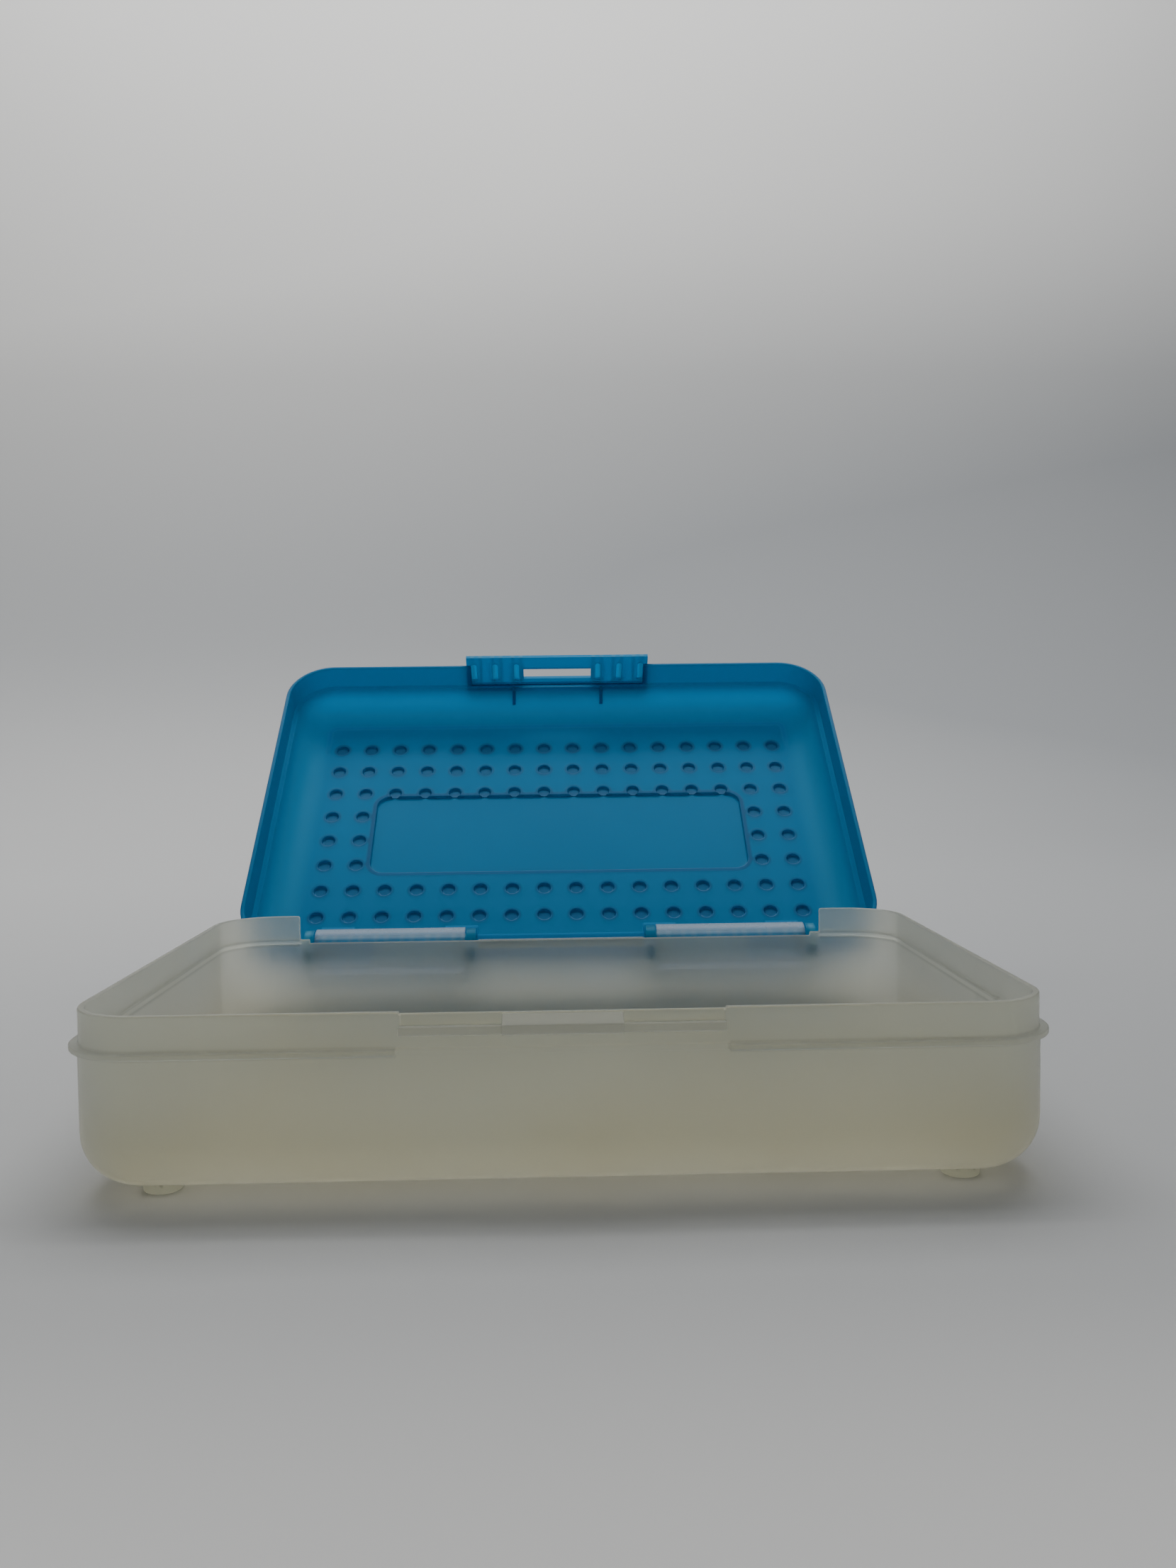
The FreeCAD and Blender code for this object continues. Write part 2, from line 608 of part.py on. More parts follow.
def add_lid_walls(body):
    """The lid's plate, rounding, upper wall and stepped skirt, as one open shell."""
    upper = case_outline(body, "UpperOutline", RIM, "Sheet.shelf_inset")
    pad(body, "Upper", upper, "Sheet.lid_height")
    inner = "(Sheet.shelf_inset + Sheet.wall)"
    cavity = case_outline(body, "CavityOutline", RIM, inner)
    pocket(body, "Cavity", cavity, "(Sheet.lid_height - Sheet.wall)", along=True)
    round_edges(body, "CavityRound", "(Sheet.lid_round - Sheet.wall)", level(LID_INNER_TOP))
    round_edges(body, "TopRound", "Sheet.lid_round", level(LID_TOP))
    skirt = case_outline(body, "SkirtOutline", RIM, "0")
    add_case_loop(skirt, inner)
    pad(body, "Skirt", skirt, "Sheet.skirt_height")
    groove = case_outline(body, "SkirtCavityOutline", RIM, "Sheet.wall")
    pocket(body, "SkirtCavity", groove, "(Sheet.skirt_height - Sheet.wall)", along=True)


def add_tab_root(body):
    """The shelf that the latch tab hangs from, and the skirt's opening behind the tab."""
    shelf = (minus("Sheet.tab_half"), "Sheet.tab_half")
    shelf_y = (minus(TAB_OUTER), minus(f"({COLLAR_BACK} - Sheet.wall / 2)"))
    block(body, "TabShelf", shelf, shelf_y, (TAB_ROOT, f"({TAB_ROOT} + Sheet.wall)"))
    opening_half = "(Sheet.flange_gap_half + Sheet.tab_opening_gap)"
    opening = (minus(opening_half), opening_half)
    skirt_front = (minus(HALF_DEPTH), minus(COLLAR_BACK))
    block(body, "TabOpening", opening, skirt_front, (RIM, TAB_ROOT), cut=True)


def add_front_ribs(body):
    """Two ribs on the rounding inside the front wall."""
    middle_of_wall = "(Sheet.lid_round - Sheet.wall / 2)"
    rib_face = "(Sheet.lid_round - Sheet.wall - Sheet.front_rib_reach)"
    for side, sign in SIDES.items():
        start = f"({sided(sign, 'Sheet.front_rib_offset')} - Sheet.front_rib_width / 2)"
        rib = across(body, f"FrontRib{side.title()}Outline", start)
        rib.polygon(
            [
                on_front_round(middle_of_wall, "Sheet.front_rib_low"),
                on_front_round(middle_of_wall, "Sheet.front_rib_high"),
                on_front_round(rib_face, "Sheet.front_rib_high"),
                on_front_round(rib_face, "Sheet.front_rib_low"),
            ]
        )
        pad(body, f"FrontRib{side.title()}", rib, "Sheet.front_rib_width")


def add_rear_rim(body):
    """The lip and pads along the rear rim, and the notches that clear the barrels."""
    lip_half = f"({REAR_GAP_HALF} - Sheet.lip_end_gap)"
    lip_front = f"({HALF_DEPTH} - Sheet.lip_depth)"
    lip_back = f"({HALF_DEPTH} - Sheet.wall / 2)"
    lip_z = (RIM, f"({RIM} + Sheet.lip_height)")
    block(body, "RearLip", (minus(lip_half), lip_half), (lip_front, lip_back), lip_z)
    pad_y = (f"({lip_front} - Sheet.pad_reach)", lip_front)
    inner_pad_end = "(Sheet.hinge_middle_half + Sheet.pad_length)"
    near_end = f"({BARREL_START} - Sheet.barrel_swing_gap)"
    far_end = f"({BARREL_END} + Sheet.barrel_swing_gap)"
    for side, sign in SIDES.items():
        inner = span(sign, "Sheet.hinge_middle_half", inner_pad_end)
        block(body, f"InnerPad{side.title()}", inner, pad_y, lip_z)
        outer = span(sign, f"({lip_half} - Sheet.pad_length)", lip_half)
        block(body, f"OuterPad{side.title()}", outer, pad_y, lip_z)
        start = span(sign, near_end, far_end)[0]
        notch = across(body, f"Notch{side.title()}Outline", start)
        notch.circle(HINGE_Y, HINGE_Z, "(Sheet.barrel_radius + Sheet.barrel_swing_gap)")
        pocket(body, f"Notch{side.title()}", notch, f"({far_end} - {near_end})", along=True)


def add_name_panel(body):
    """The blank raised panel in the middle of the lid, hollow like the studs."""
    panel_half = f"({(COVERED_COLUMNS - 1) / 2} * {STUD_PITCH_X} + Sheet.panel_lap_side)"
    near = f"({COVERED_ROWS / 2} * {STUD_PITCH_Y} + Sheet.panel_lap_front)"
    far = f"({COVERED_ROWS / 2} * {STUD_PITCH_Y} + Sheet.panel_lap_rear)"
    raised = Outline(body, "PanelOutline", "XY_Plane", LID_INNER_TOP)
    raised.rounded(minus(panel_half), panel_half, minus(near), far, "Sheet.panel_corner")
    pad(body, "Panel", raised, "(Sheet.wall + Sheet.stud_rise)")
    inset_x = f"({panel_half} - Sheet.panel_wall)"
    inset_near, inset_far = f"({near} - Sheet.panel_wall)", f"({far} - Sheet.panel_wall)"
    corner = "(Sheet.panel_corner - Sheet.panel_wall)"
    sunk = Outline(body, "PanelCavityOutline", "XY_Plane", LID_INNER_TOP)
    sunk.rounded(minus(inset_x), inset_x, minus(inset_near), inset_far, corner)
    pocket(body, "PanelCavity", sunk, "Sheet.stud_rise", along=True)


def make_lid_shell():
    body = new_body("lid_shell")
    add_lid_walls(body)
    add_tab_root(body)
    add_front_ribs(body)
    add_rear_rim(body)
    add_studs(body)
    add_name_panel(body)
    return [body]


def make_ears():
    """Four ears behind the lid's skirt, each reaching down to carry one end of a pin."""
    ears = []
    stations = {
        "inner": ("Sheet.hinge_middle_half", "(Sheet.hinge_middle_half + Sheet.ear_thick)"),
        "outer": (f"({OUTER_EAR} - Sheet.ear_thick)", OUTER_EAR),
    }
    for side, sign in SIDES.items():
        for place, (near, far) in stations.items():
            body = new_body(f"hinge_ear_{place}_{side}")
            start = span(sign, near, far)[0]
            disc = across(body, "DiscOutline", start)
            pad(body, "Disc", disc.circle(HINGE_Y, HINGE_Z, "Sheet.ear_radius"), "Sheet.ear_thick")
            arm = across(body, "ArmOutline", start)
            shoulder_y = f"({HINGE_Y} + Sheet.ear_radius * cos(Sheet.ear_slope * 1deg))"
            shoulder_z = f"({HINGE_Z} + Sheet.ear_radius * sin(Sheet.ear_slope * 1deg))"
            arm.polygon(
                [
                    (HALF_DEPTH, RIM),
                    (HINGE_Y, HINGE_Z),
                    (shoulder_y, shoulder_z),
                    (HALF_DEPTH, f"({RIM} + Sheet.ear_rise)"),
                ]
            )
            pad(body, "Arm", arm, "Sheet.ear_thick")
            ears.append(body)
    return ears


def make_pins():
    """Two hinge pins, each between its pair of ears."""
    pins = []
    near = "(Sheet.hinge_middle_half + Sheet.ear_thick)"
    far = f"({OUTER_EAR} - Sheet.ear_thick)"
    for side, sign in SIDES.items():
        body = new_body(f"hinge_pin_{side}")
        pin = across(body, "PinOutline", span(sign, near, far)[0])
        pad(body, "Pin", pin.circle(HINGE_Y, HINGE_Z, "Sheet.pin_radius"), f"({far} - {near})")
        pins.append(body)
    return pins


def make_latch_tab():
    """The latch tab that hangs from the lid's front shelf, with its window and grip ribs."""
    body = new_body("latch_tab")
    tip = f"({RIM} - Sheet.tab_drop)"
    width = (minus("Sheet.tab_half"), "Sheet.tab_half")
    thick = (minus(TAB_OUTER), minus(TAB_INNER))
    block(body, "Plate", width, thick, (tip, TAB_ROOT))
    for side, sign in SIDES.items():
        end = span(sign, "(Sheet.tab_half - Sheet.tab_return)", "Sheet.tab_half")
        depth = (minus(TAB_INNER), minus(HALF_DEPTH))
        block(body, f"Return{side.title()}", end, depth, (f"({RIM} + Sheet.return_low)", TAB_ROOT))
    window = (minus("Sheet.window_half"), "Sheet.window_half")
    opening = (f"({RIM} + Sheet.window_low)", f"({RIM} + Sheet.window_high)")
    block(body, "Window", window, thick, opening, cut=True)
    low, high = f"({RIM} + Sheet.rib_low)", f"({RIM} + Sheet.rib_high)"
    half = "(Sheet.rib_width / 2)"
    ribs = facing_front(body, "RibsOutline", TAB_OUTER)
    channels = facing_front(body, "ChannelsOutline", TAB_INNER)
    for sign in SIDES.values():
        for index in range(RIBS_PER_SIDE):
            place = f"(Sheet.window_half + Sheet.rib_first + {index} * Sheet.rib_pitch)"
            middle = sided(sign, place)
            ribs.channel(middle, half, low, high)
            narrow = f"({half} - Sheet.rib_wall)"
            channels.channel(middle, narrow, f"({low} + Sheet.rib_wall)", high)
    pad(body, "Ribs", ribs, "Sheet.rib_rise")
    pocket(body, "Channels", channels, "Sheet.rib_rise", along=True)
    return [body]


def swing_open(bodies):
    """Places the lid's parts, drawn shut, where the open lid holds them."""
    for body in bodies:
        body.setExpression("Placement.Rotation.Axis.x", "1")
        body.setExpression("Placement.Rotation.Axis.y", "0")
        body.setExpression("Placement.Rotation.Axis.z", "0")
        body.setExpression("Placement.Rotation.Angle", minus(OPEN_TURN))
        turned_y = f"({HINGE_Y} * cos({OPEN_TURN}) + {HINGE_Z} * sin({OPEN_TURN}))"
        turned_z = f"({HINGE_Z} * cos({OPEN_TURN}) - {HINGE_Y} * sin({OPEN_TURN}))"
        body.setExpression("Placement.Base.y", f"{HINGE_Y} - {turned_y}")
        body.setExpression("Placement.Base.z", f"{HINGE_Z} - {turned_z}")


tray_parts = make_tray() + make_feet() + make_catch() + make_barrels() + make_rail()
lid_parts = make_lid_shell() + make_ears() + make_pins() + make_latch_tab()
swing_open(lid_parts)
doc.recompute()

for item in doc.Objects:
    if {"Invalid", "Error"} & set(item.State):
        raise ValueError(f"{item.Label} is not sound: {item.State}")
for part in tray_parts + lid_parts:
    if part.Shape.isNull() or not part.Shape.isValid() or len(part.Shape.Solids) != 1:
        raise ValueError(f"{part.Label} is not one valid solid")

os.makedirs("parts", exist_ok=True)
for part in tray_parts + lid_parts:
    part.Shape.exportStep(f"parts/{part.Label}.step")
    box = part.Shape.BoundBox
    print(
        f"{part.Label:24s} {part.Shape.Volume:10.1f} mm3"
        f"  x {box.XMin:8.2f} {box.XMax:8.2f}  y {box.YMin:8.2f} {box.YMax:8.2f}"
        f"  z {box.ZMin:8.2f} {box.ZMax:8.2f}"
    )
print("hinge axis at y", round(measure(HINGE_Y), 4), "z", round(measure(HINGE_Z), 4))
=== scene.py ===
import json
import math

import bmesh
import bpy
from bpy.props import FloatProperty, FloatVectorProperty, PointerProperty
from mathutils import Matrix, Vector
from mathutils.geometry import delaunay_2d_cdt


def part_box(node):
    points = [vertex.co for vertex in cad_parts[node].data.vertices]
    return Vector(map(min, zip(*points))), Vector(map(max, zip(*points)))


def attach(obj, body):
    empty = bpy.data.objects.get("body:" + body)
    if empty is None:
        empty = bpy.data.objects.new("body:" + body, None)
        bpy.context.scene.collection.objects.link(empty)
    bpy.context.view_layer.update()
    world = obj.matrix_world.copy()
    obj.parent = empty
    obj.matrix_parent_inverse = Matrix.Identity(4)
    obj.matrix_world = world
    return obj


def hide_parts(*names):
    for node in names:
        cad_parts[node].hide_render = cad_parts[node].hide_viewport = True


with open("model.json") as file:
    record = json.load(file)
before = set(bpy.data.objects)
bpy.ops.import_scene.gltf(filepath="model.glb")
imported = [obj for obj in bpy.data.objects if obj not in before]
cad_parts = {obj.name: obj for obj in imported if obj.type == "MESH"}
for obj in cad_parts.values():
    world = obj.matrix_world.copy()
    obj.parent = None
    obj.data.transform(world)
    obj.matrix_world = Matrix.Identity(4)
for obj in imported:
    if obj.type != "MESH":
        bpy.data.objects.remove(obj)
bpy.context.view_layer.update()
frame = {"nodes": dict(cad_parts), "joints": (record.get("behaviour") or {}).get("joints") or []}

bl_info = {
    "name": "Hinged Storage Case",
    "version": (1, 0, 0),
    "blender": (4, 5, 0),
    "location": "3D View > Sidebar > Case",
    "description": "Builds the looks of a hinged polypropylene storage case around its packed frame",
    "category": "Object",
}

MM = 0.001

# Sizes in millimetres, and counts, that more than one place needs.
WALL = 1.5
EDGE = 0.3
JOIN_WITHIN = 0.0008
STATION_GAP = 0.06
SIDE_STOPS = (-40, -20, 0, 20, 40)
ROOT_FILLET = 0.3
CORNER = 17.5
LID_ROUND = 14.0
LID_HALF_DEPTH = 71.5
SHELF_INSET = 2.0
SHELF_RISE = 10.8
TAB_ROOT_RISE = 10.3
BAND_RISE = 0.9
LEDGE_TOP = 38.0
NOSE_HALF = 12.8
STUD_COLUMNS, STUD_ROWS = 16, 8
STUD_MARGIN_SIDE, STUD_MARGIN_FRONT = 21.0, 28.2
PANEL_HALF, PANEL_FRONT, PANEL_REAR, PANEL_CORNER = 71.2, -17.5, 23.3, 6.0
FOOT_X, FOOT_Y = 88.0, 57.5
GRIP_FIRST, GRIP_PITCH = 16.5, 8.3
FLANGE_LOW, FLANGE_HIGH = 31.8, 33.1

# How squarely a wall has to face the front or the rear to count as part of it.
FACING = 0.999

# Where each tint fades in on the plastics: from and to, in millimetres.
AGED_HEIGHT = (2, 30)
FRONT_GAP_SIDE, FRONT_GAP_BACK = (34.9, 35.5), (-60, -50)
REAR_GAP_SIDE, REAR_GAP_BACK = (82.7, 83.3), (50, 60)
REAR_WALL_BACK, REAR_WALL_HEIGHT = (62, 68), (12, 20)
FEET_HEIGHT, STRIP_HEIGHT = (8, 12), (32, 35)
PLATE_INSET = (14.5, 16.0)
STUD_REACH = (2.8, 4.1)
PANEL_FADE, RIM_OUTSIDE, RIM_INSIDE = (-0.4, 0.4), (-1.3, -0.3), (0.4, 1.4)
BEYOND_INSET, EDGE_INSET = (-1.0, -0.5), (0.3, 1.8)
GRIP_INSIDE, GRIP_OUTSIDE, GRIP_START = (0.4, 1.4), (2.0, 2.8), (13.6, 14.2)
CREASE_START, CREASE_END = (13.6, 14.8), (15.2, 16.6)
CREASE_BACK = (-50, -40)
WALL_START, WALL_END = (2.0, 6.0), (10.0, 17.0)

# How strong each tint, painted shade and painted highlight is, from 0 to 1.
AGEING, CLOUDING, DIRT, FLANGE_SHADE = 0.75, 0.7, 0.7, 0.6
STUD_DEPTH, PANEL_DEPTH, EDGE_DEPTH, GRIP_DEPTH = 0.9, 0.2, 0.7, 0.8
TAB_PALENESS, WALL_PALENESS, CREASE_HIGHLIGHT = 0.8, 0.7, 0.85
TRAY_SHEER, SOLID_SHEER, LID_SHEER, POLISHED_SHEER = 0.95, 0.2, 0.5, 0.1

POLYPROPYLENE_IOR, GLOSS = 1.49, 0.3
DIRT_COLOUR = (0.10, 0.08, 0.05, 1)
# Painted shade along the flange step.
FLANGE_SHADE_COLOUR = (0.38, 0.40, 0.36, 1)
HAZE_COLOUR = (0.80, 0.80, 0.70, 1)
SMOKY_CLEAR = (0.52, 0.60, 0.66, 1)
BRIGHT_CLEAR = (0.95, 0.95, 0.90, 1)
# Painted highlight along the lid's inner front crease.
CREASE_HIGHLIGHT_COLOUR = (0.45, 0.85, 0.92, 1)
FROSTED_SHINE, CLEAR_SHINE = (0.8, 0.8, 0.75), (0.5, 0.6, 0.7)

# What like values on the panel have in common.
COLOUR = {"subtype": "COLOR", "size": 3, "min": 0.0, "max": 1.0}
SHARE = {"subtype": "FACTOR", "min": 0.0, "max": 1.0}
ROUGHNESS = {"subtype": "FACTOR", "min": 0.1, "max": 0.9}
STRENGTH = {"subtype": "FACTOR", "min": 0.0, "max": 2.0}
WATTS = {"unit": "POWER", "min": 0.0, "max": 200.0}
FINE_SIZE = {"unit": "LENGTH", "subtype": "DISTANCE", "precision": 5, "min": 0.00005, "max": 0.004}


class Wire:
    """A node socket that takes part in Python arithmetic and adds the Math nodes it needs."""

    def __init__(self, recipe, socket):
        self.recipe = recipe
        self.socket = socket

    def math(self, operation, *others):
        return self.recipe.node("ShaderNodeMath", {"operation": operation}, self, *others)

    def clamped(self):
        return self.recipe.node("ShaderNodeClamp", {}, self)

    def size(self):
        return self.math("ABSOLUTE")

    def above(self, limit):
        return self.math("MAXIMUM", limit)

    def root(self):
        return self.math("SQRT")

    def cell_offset(self, pitch):
        """How far a length lies from the nearest of the middles set half a pitch off zero."""
        return ((self / pitch).math("FRACT") - 0.5) * pitch

    def __add__(self, other):
        return self.math("ADD", other)

    def __sub__(self, other):
        return self.math("SUBTRACT", other)

    def __mul__(self, other):
        return self.math("MULTIPLY", other)

    def __truediv__(self, other):
        return self.math("DIVIDE", other)

    def __lt__(self, other):
        return self.math("LESS_THAN", other)

    def __rsub__(self, other):
        return self.recipe.node("ShaderNodeMath", {"operation": "SUBTRACT"}, other, self)

    __radd__ = __add__
    __rmul__ = __mul__


class Recipe:
    """One material, whose nodes come from one method."""

    def __init__(self, name):
        self.material = bpy.data.materials.new(name)
        self.material.use_nodes = True
        self.tree = self.material.node_tree
        self.tree.nodes.clear()

    def node(self, kind, settings, *inputs, out=0, **named):
        """Adds a node, sets it up, fills its sockets and gives back one output."""
        node = self.tree.nodes.new(kind)
        for name, value in settings.items():
            setattr(node, name, value)
        usable = [socket for socket in node.inputs if socket.enabled]
        pairs = list(zip(usable, inputs))
        titled = {socket.name.replace(" ", "_"): socket for socket in reversed(usable)}
        pairs += [(titled[name], value) for name, value in named.items()]
        for socket, value in pairs:
            if isinstance(value, Wire):
                self.tree.links.new(value.socket, socket)
            else:
                socket.default_value = value
        outputs = [socket for socket in node.outputs if socket.enabled]
        if isinstance(out, str):
            outputs = [socket for socket in outputs if socket.name == out]
        return Wire(self, outputs[0]) if outputs else None

    def place(self):
        """Where a point lies in the object's own frame, in metres."""
        return self.node("ShaderNodeTexCoord", {}, out="Object")

    def parts(self, where):
        """A place's three parts: across, back and up."""
        return [self.node("ShaderNodeSeparateXYZ", {}, where, out=axis) for axis in "XYZ"]

    def noise(self, size, detail):
        """Smooth noise whose patches are about a given size in metres."""
        return self.node("ShaderNodeTexNoise", {}, self.place(), Scale=1 / size, Detail=detail)

    def step(self, value, low, high):
        """0 under low, 1 over high, and smooth between them."""
        smooth = {"interpolation_type": "SMOOTHSTEP"}
        return self.node("ShaderNodeMapRange", smooth, value, From_Min=low, From_Max=high)

    def fade(self, value, span):
        """A step between two places given in millimetres."""
        low, high = span
        return self.step(value, low * MM, high * MM)

    def blend(self, share, first, second):
        """Between two colours, by a share from 0 to 1."""
        return self.node("ShaderNodeMix", {"data_type": "RGBA"}, Factor=share, A=first, B=second)

    def scratches(self, length, width, turn, cover):
        """Fine straight scuffs that run one way, on a share of the surface."""
        where = self.node("ShaderNodeMapping", {}, self.place(), Rotation=turn)
        scale = (1 / length, 1 / width, 1 / width)
        stretched = self.node("ShaderNodeMapping", {}, where, Scale=scale)
        lines = self.node("ShaderNodeTexNoise", {}, stretched, Scale=1.0, Detail=2.0)
        start, softness = 1 - cover, 0.04
        return self.step(lines, start, start + softness)

    def specks(self, spacing, size, share):
        """Sparse round specks of dirt, one to a cell and only in a share of the cells."""
        distance = self.node("ShaderNodeTexVoronoi", {}, self.place(), Scale=1 / spacing)
        dice = self.node("ShaderNodeTexVoronoi", {}, self.place(), Scale=1 / spacing, out="Color")
        picked = self.node("ShaderNodeSeparateColor", {}, dice) < share
        return (1 - self.step(distance, size / spacing * 0.5, size / spacing)) * picked

    def inset(self, across, back, half_x, half_y, corner):
        """How far a place lies inside a rounded rectangle's edge, no more than its corner."""
        past_x = (across.size() - (half_x - corner)).above(0.0)
        past_y = (back.size() - (half_y - corner)).above(0.0)
        return corner - (past_x * past_x + past_y * past_y).root()

    def bump(self, height, strength, distance):
        """A dent in the shading, strength from 0 to 1 and distance in metres."""
        settings = {"Strength": strength, "Distance": distance, "Height": height}
        return self.node("ShaderNodeBump", {}, **settings)

    def plastic(self, colour, roughness, normal, shine, sheer, cover=1.0):
        """The plastic's clear part: shine tints what it mirrors, sheer is what it lets through."""
        return self.node(
            "ShaderNodeBsdfPrincipled",
            {},
            Base_Color=colour,
            Roughness=roughness,
            Normal=normal,
            IOR=POLYPROPYLENE_IOR,
            Specular_IOR_Level=GLOSS,
            Specular_Tint=with_alpha(shine),
            Transmission_Weight=sheer,
            Alpha=cover,
        )

    def milky(self, plastic, share, colour):
        """Adds a share of light scattered inside the plastic, and ends the material."""
        milk = self.node("ShaderNodeBsdfTranslucent", {}, Color=colour)
        return self.finish(self.node("ShaderNodeMixShader", {}, share, plastic, milk))

    def finish(self, shader):
        """Joins the shader to the output and gives the material back."""
        output = self.tree.nodes.new("ShaderNodeOutputMaterial")
        self.tree.links.new(shader.socket, output.inputs["Surface"])
        return self.material


def with_alpha(colour):
    """A colour with full cover added."""
    return (*colour, 1.0)


def frosted_recipe(name, looks, sheer, clean, aged, cover):
    """Frosted natural plastic: yellower low down, less milky and rougher at the rear wall, with painted
    shade along the flange step.

    sheer is what it lets through, clean and aged are its colours, cover how much of it shows."""
    mix = Recipe(name)
    across, back, height = mix.parts(mix.place())
    low = 1 - mix.fade(height, AGED_HEIGHT)
    cloud = mix.noise(38 * MM, 3.0)
    yellowed = (low * AGEING + (cloud - 0.5) * CLOUDING).clamped()
    colour = mix.blend(yellowed, with_alpha(clean), with_alpha(aged))
    dirt = mix.specks(31 * MM, 0.5 * MM, 0.22)
    colour = mix.blend(dirt * DIRT, colour, DIRT_COLOUR)
    side = across.size()
    front_gap = (1 - mix.fade(side, FRONT_GAP_SIDE)) * (1 - mix.fade(back, FRONT_GAP_BACK))
    rear_gap = (1 - mix.fade(side, REAR_GAP_SIDE)) * mix.fade(back, REAR_GAP_BACK)
    # Painted shade: darker bands just under and just over the flange step, left out at the front and
    # rear gaps.
    under = mix.fade(height, (FLANGE_LOW - 0.9, FLANGE_LOW - 0.1))
    under = under * (1 - mix.fade(height, (FLANGE_LOW, FLANGE_LOW + EDGE)))
    over = mix.fade(height, (FLANGE_HIGH - EDGE, FLANGE_HIGH))
    over = over * (1 - mix.fade(height, (FLANGE_HIGH, FLANGE_HIGH + 0.7)))
    flange_shade = (under + over) * (1 - front_gap) * (1 - rear_gap)
    colour = mix.blend(flange_shade * FLANGE_SHADE, colour, FLANGE_SHADE_COLOUR)
    grain = mix.noise(0.35 * MM, 2.0)
    waves = mix.noise(9 * MM, 2.0)
    scuffs = mix.scratches(26 * MM, 0.25 * MM, (0.3, 0.2, 0.9), 0.32)
    rear = mix.fade(back, REAR_WALL_BACK) * mix.fade(height, REAR_WALL_HEIGHT)
    rough = looks.frost + waves * 0.06 + scuffs * 0.12 + rear * 0.38
    normal = mix.bump(grain * 0.7 + waves * 0.6 + scuffs * 0.2, 0.25, 0.08 * MM)
    plastic = mix.plastic(colour, rough, normal, FROSTED_SHINE, sheer, cover)
    return mix.milky(plastic, looks.milk - rear * looks.milk * 0.75, HAZE_COLOUR)


def frosted_polypropylene(looks):
    """The tray's thin walls, which let most of the light through."""
    clean, aged = looks.frosted_colour, looks.aged_colour
    return frosted_recipe("frosted_plastic", looks, TRAY_SHEER, clean, aged, 1.0)


def frosted_lugs(looks):
    """The solid catch and rail, where the plastic is thick enough to look even and pale."""
    darkening = 0.62
    dense = [share * darkening for share in looks.frosted_colour]
    return frosted_recipe("frosted_lugs", looks, SOLID_SHEER, dense, dense, looks.lug_cover)


def clear_polypropylene(looks):
    """The same plastic where the mould was polished: the feet and the hinge barrels."""
    mix = Recipe("clear_plastic")
    cloud = mix.noise(12 * MM, 2.0)
    colour = mix.blend(cloud, with_alpha(looks.clear_colour), SMOKY_CLEAR)
    waves = mix.noise(3 * MM, 2.0)
    scuffs = mix.scratches(9 * MM, 0.2 * MM, (0.1, 0.4, 0.2), 0.34)
    rough = 0.24 + waves * 0.08 + scuffs * 0.15
    normal = mix.bump(waves + scuffs * 0.2, 0.3, 0.05 * MM)
    height = mix.parts(mix.place())[2]
    feet, strip = 1 - mix.fade(height, FEET_HEIGHT), mix.fade(height, STRIP_HEIGHT)
    cover = strip * looks.clear_cover + feet * 0.35 + scuffs * 0.05 + 0.06
    plastic = mix.plastic(colour, rough, normal, CLEAR_SHINE, POLISHED_SHEER, cover)
    return mix.milky(plastic, feet * 0.8, BRIGHT_CLEAR)


def packed(name):
    """A joint of the frame, by name."""
    return next(joint for joint in frame["joints"] if joint["name"] == name)


HINGE = packed("lid_hinge")
PIVOT = Vector(HINGE["pos_m"])
OPEN_ANGLE = math.radians(HINGE["range_deg"][1])
SHUT = Matrix.Translation(PIVOT) @ Matrix.Rotation(OPEN_ANGLE, 4, "X") @ Matrix.Translation(-PIVOT)
OPENED = SHUT.inverted()


def span_of(name):
    """A tray-side node's lowest and highest corners, in millimetres."""
    low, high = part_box(name)
    return low / MM, high / MM


def shut_span_of(name):
    """A lid-side node's lowest and highest corners with the lid shut, in millimetres."""
    points = [SHUT @ vertex.co for vertex in frame["nodes"][name].data.vertices]
    low = Vector([min(point[axis] for point in points) for axis in range(3)])
    high = Vector([max(point[axis] for point in points) for axis in range(3)])
    return low / MM, high / MM


def stud_pitch():
    """The first stud's place and the step between studs, sideways and front to back."""
    high = shut_span_of("lid_shell")[1]
    first_x, first_y = high.x - STUD_MARGIN_SIDE, LID_HALF_DEPTH - STUD_MARGIN_FRONT
    return first_x, first_y, 2 * first_x / (STUD_COLUMNS - 1), 2 * first_y / (STUD_ROWS - 1)


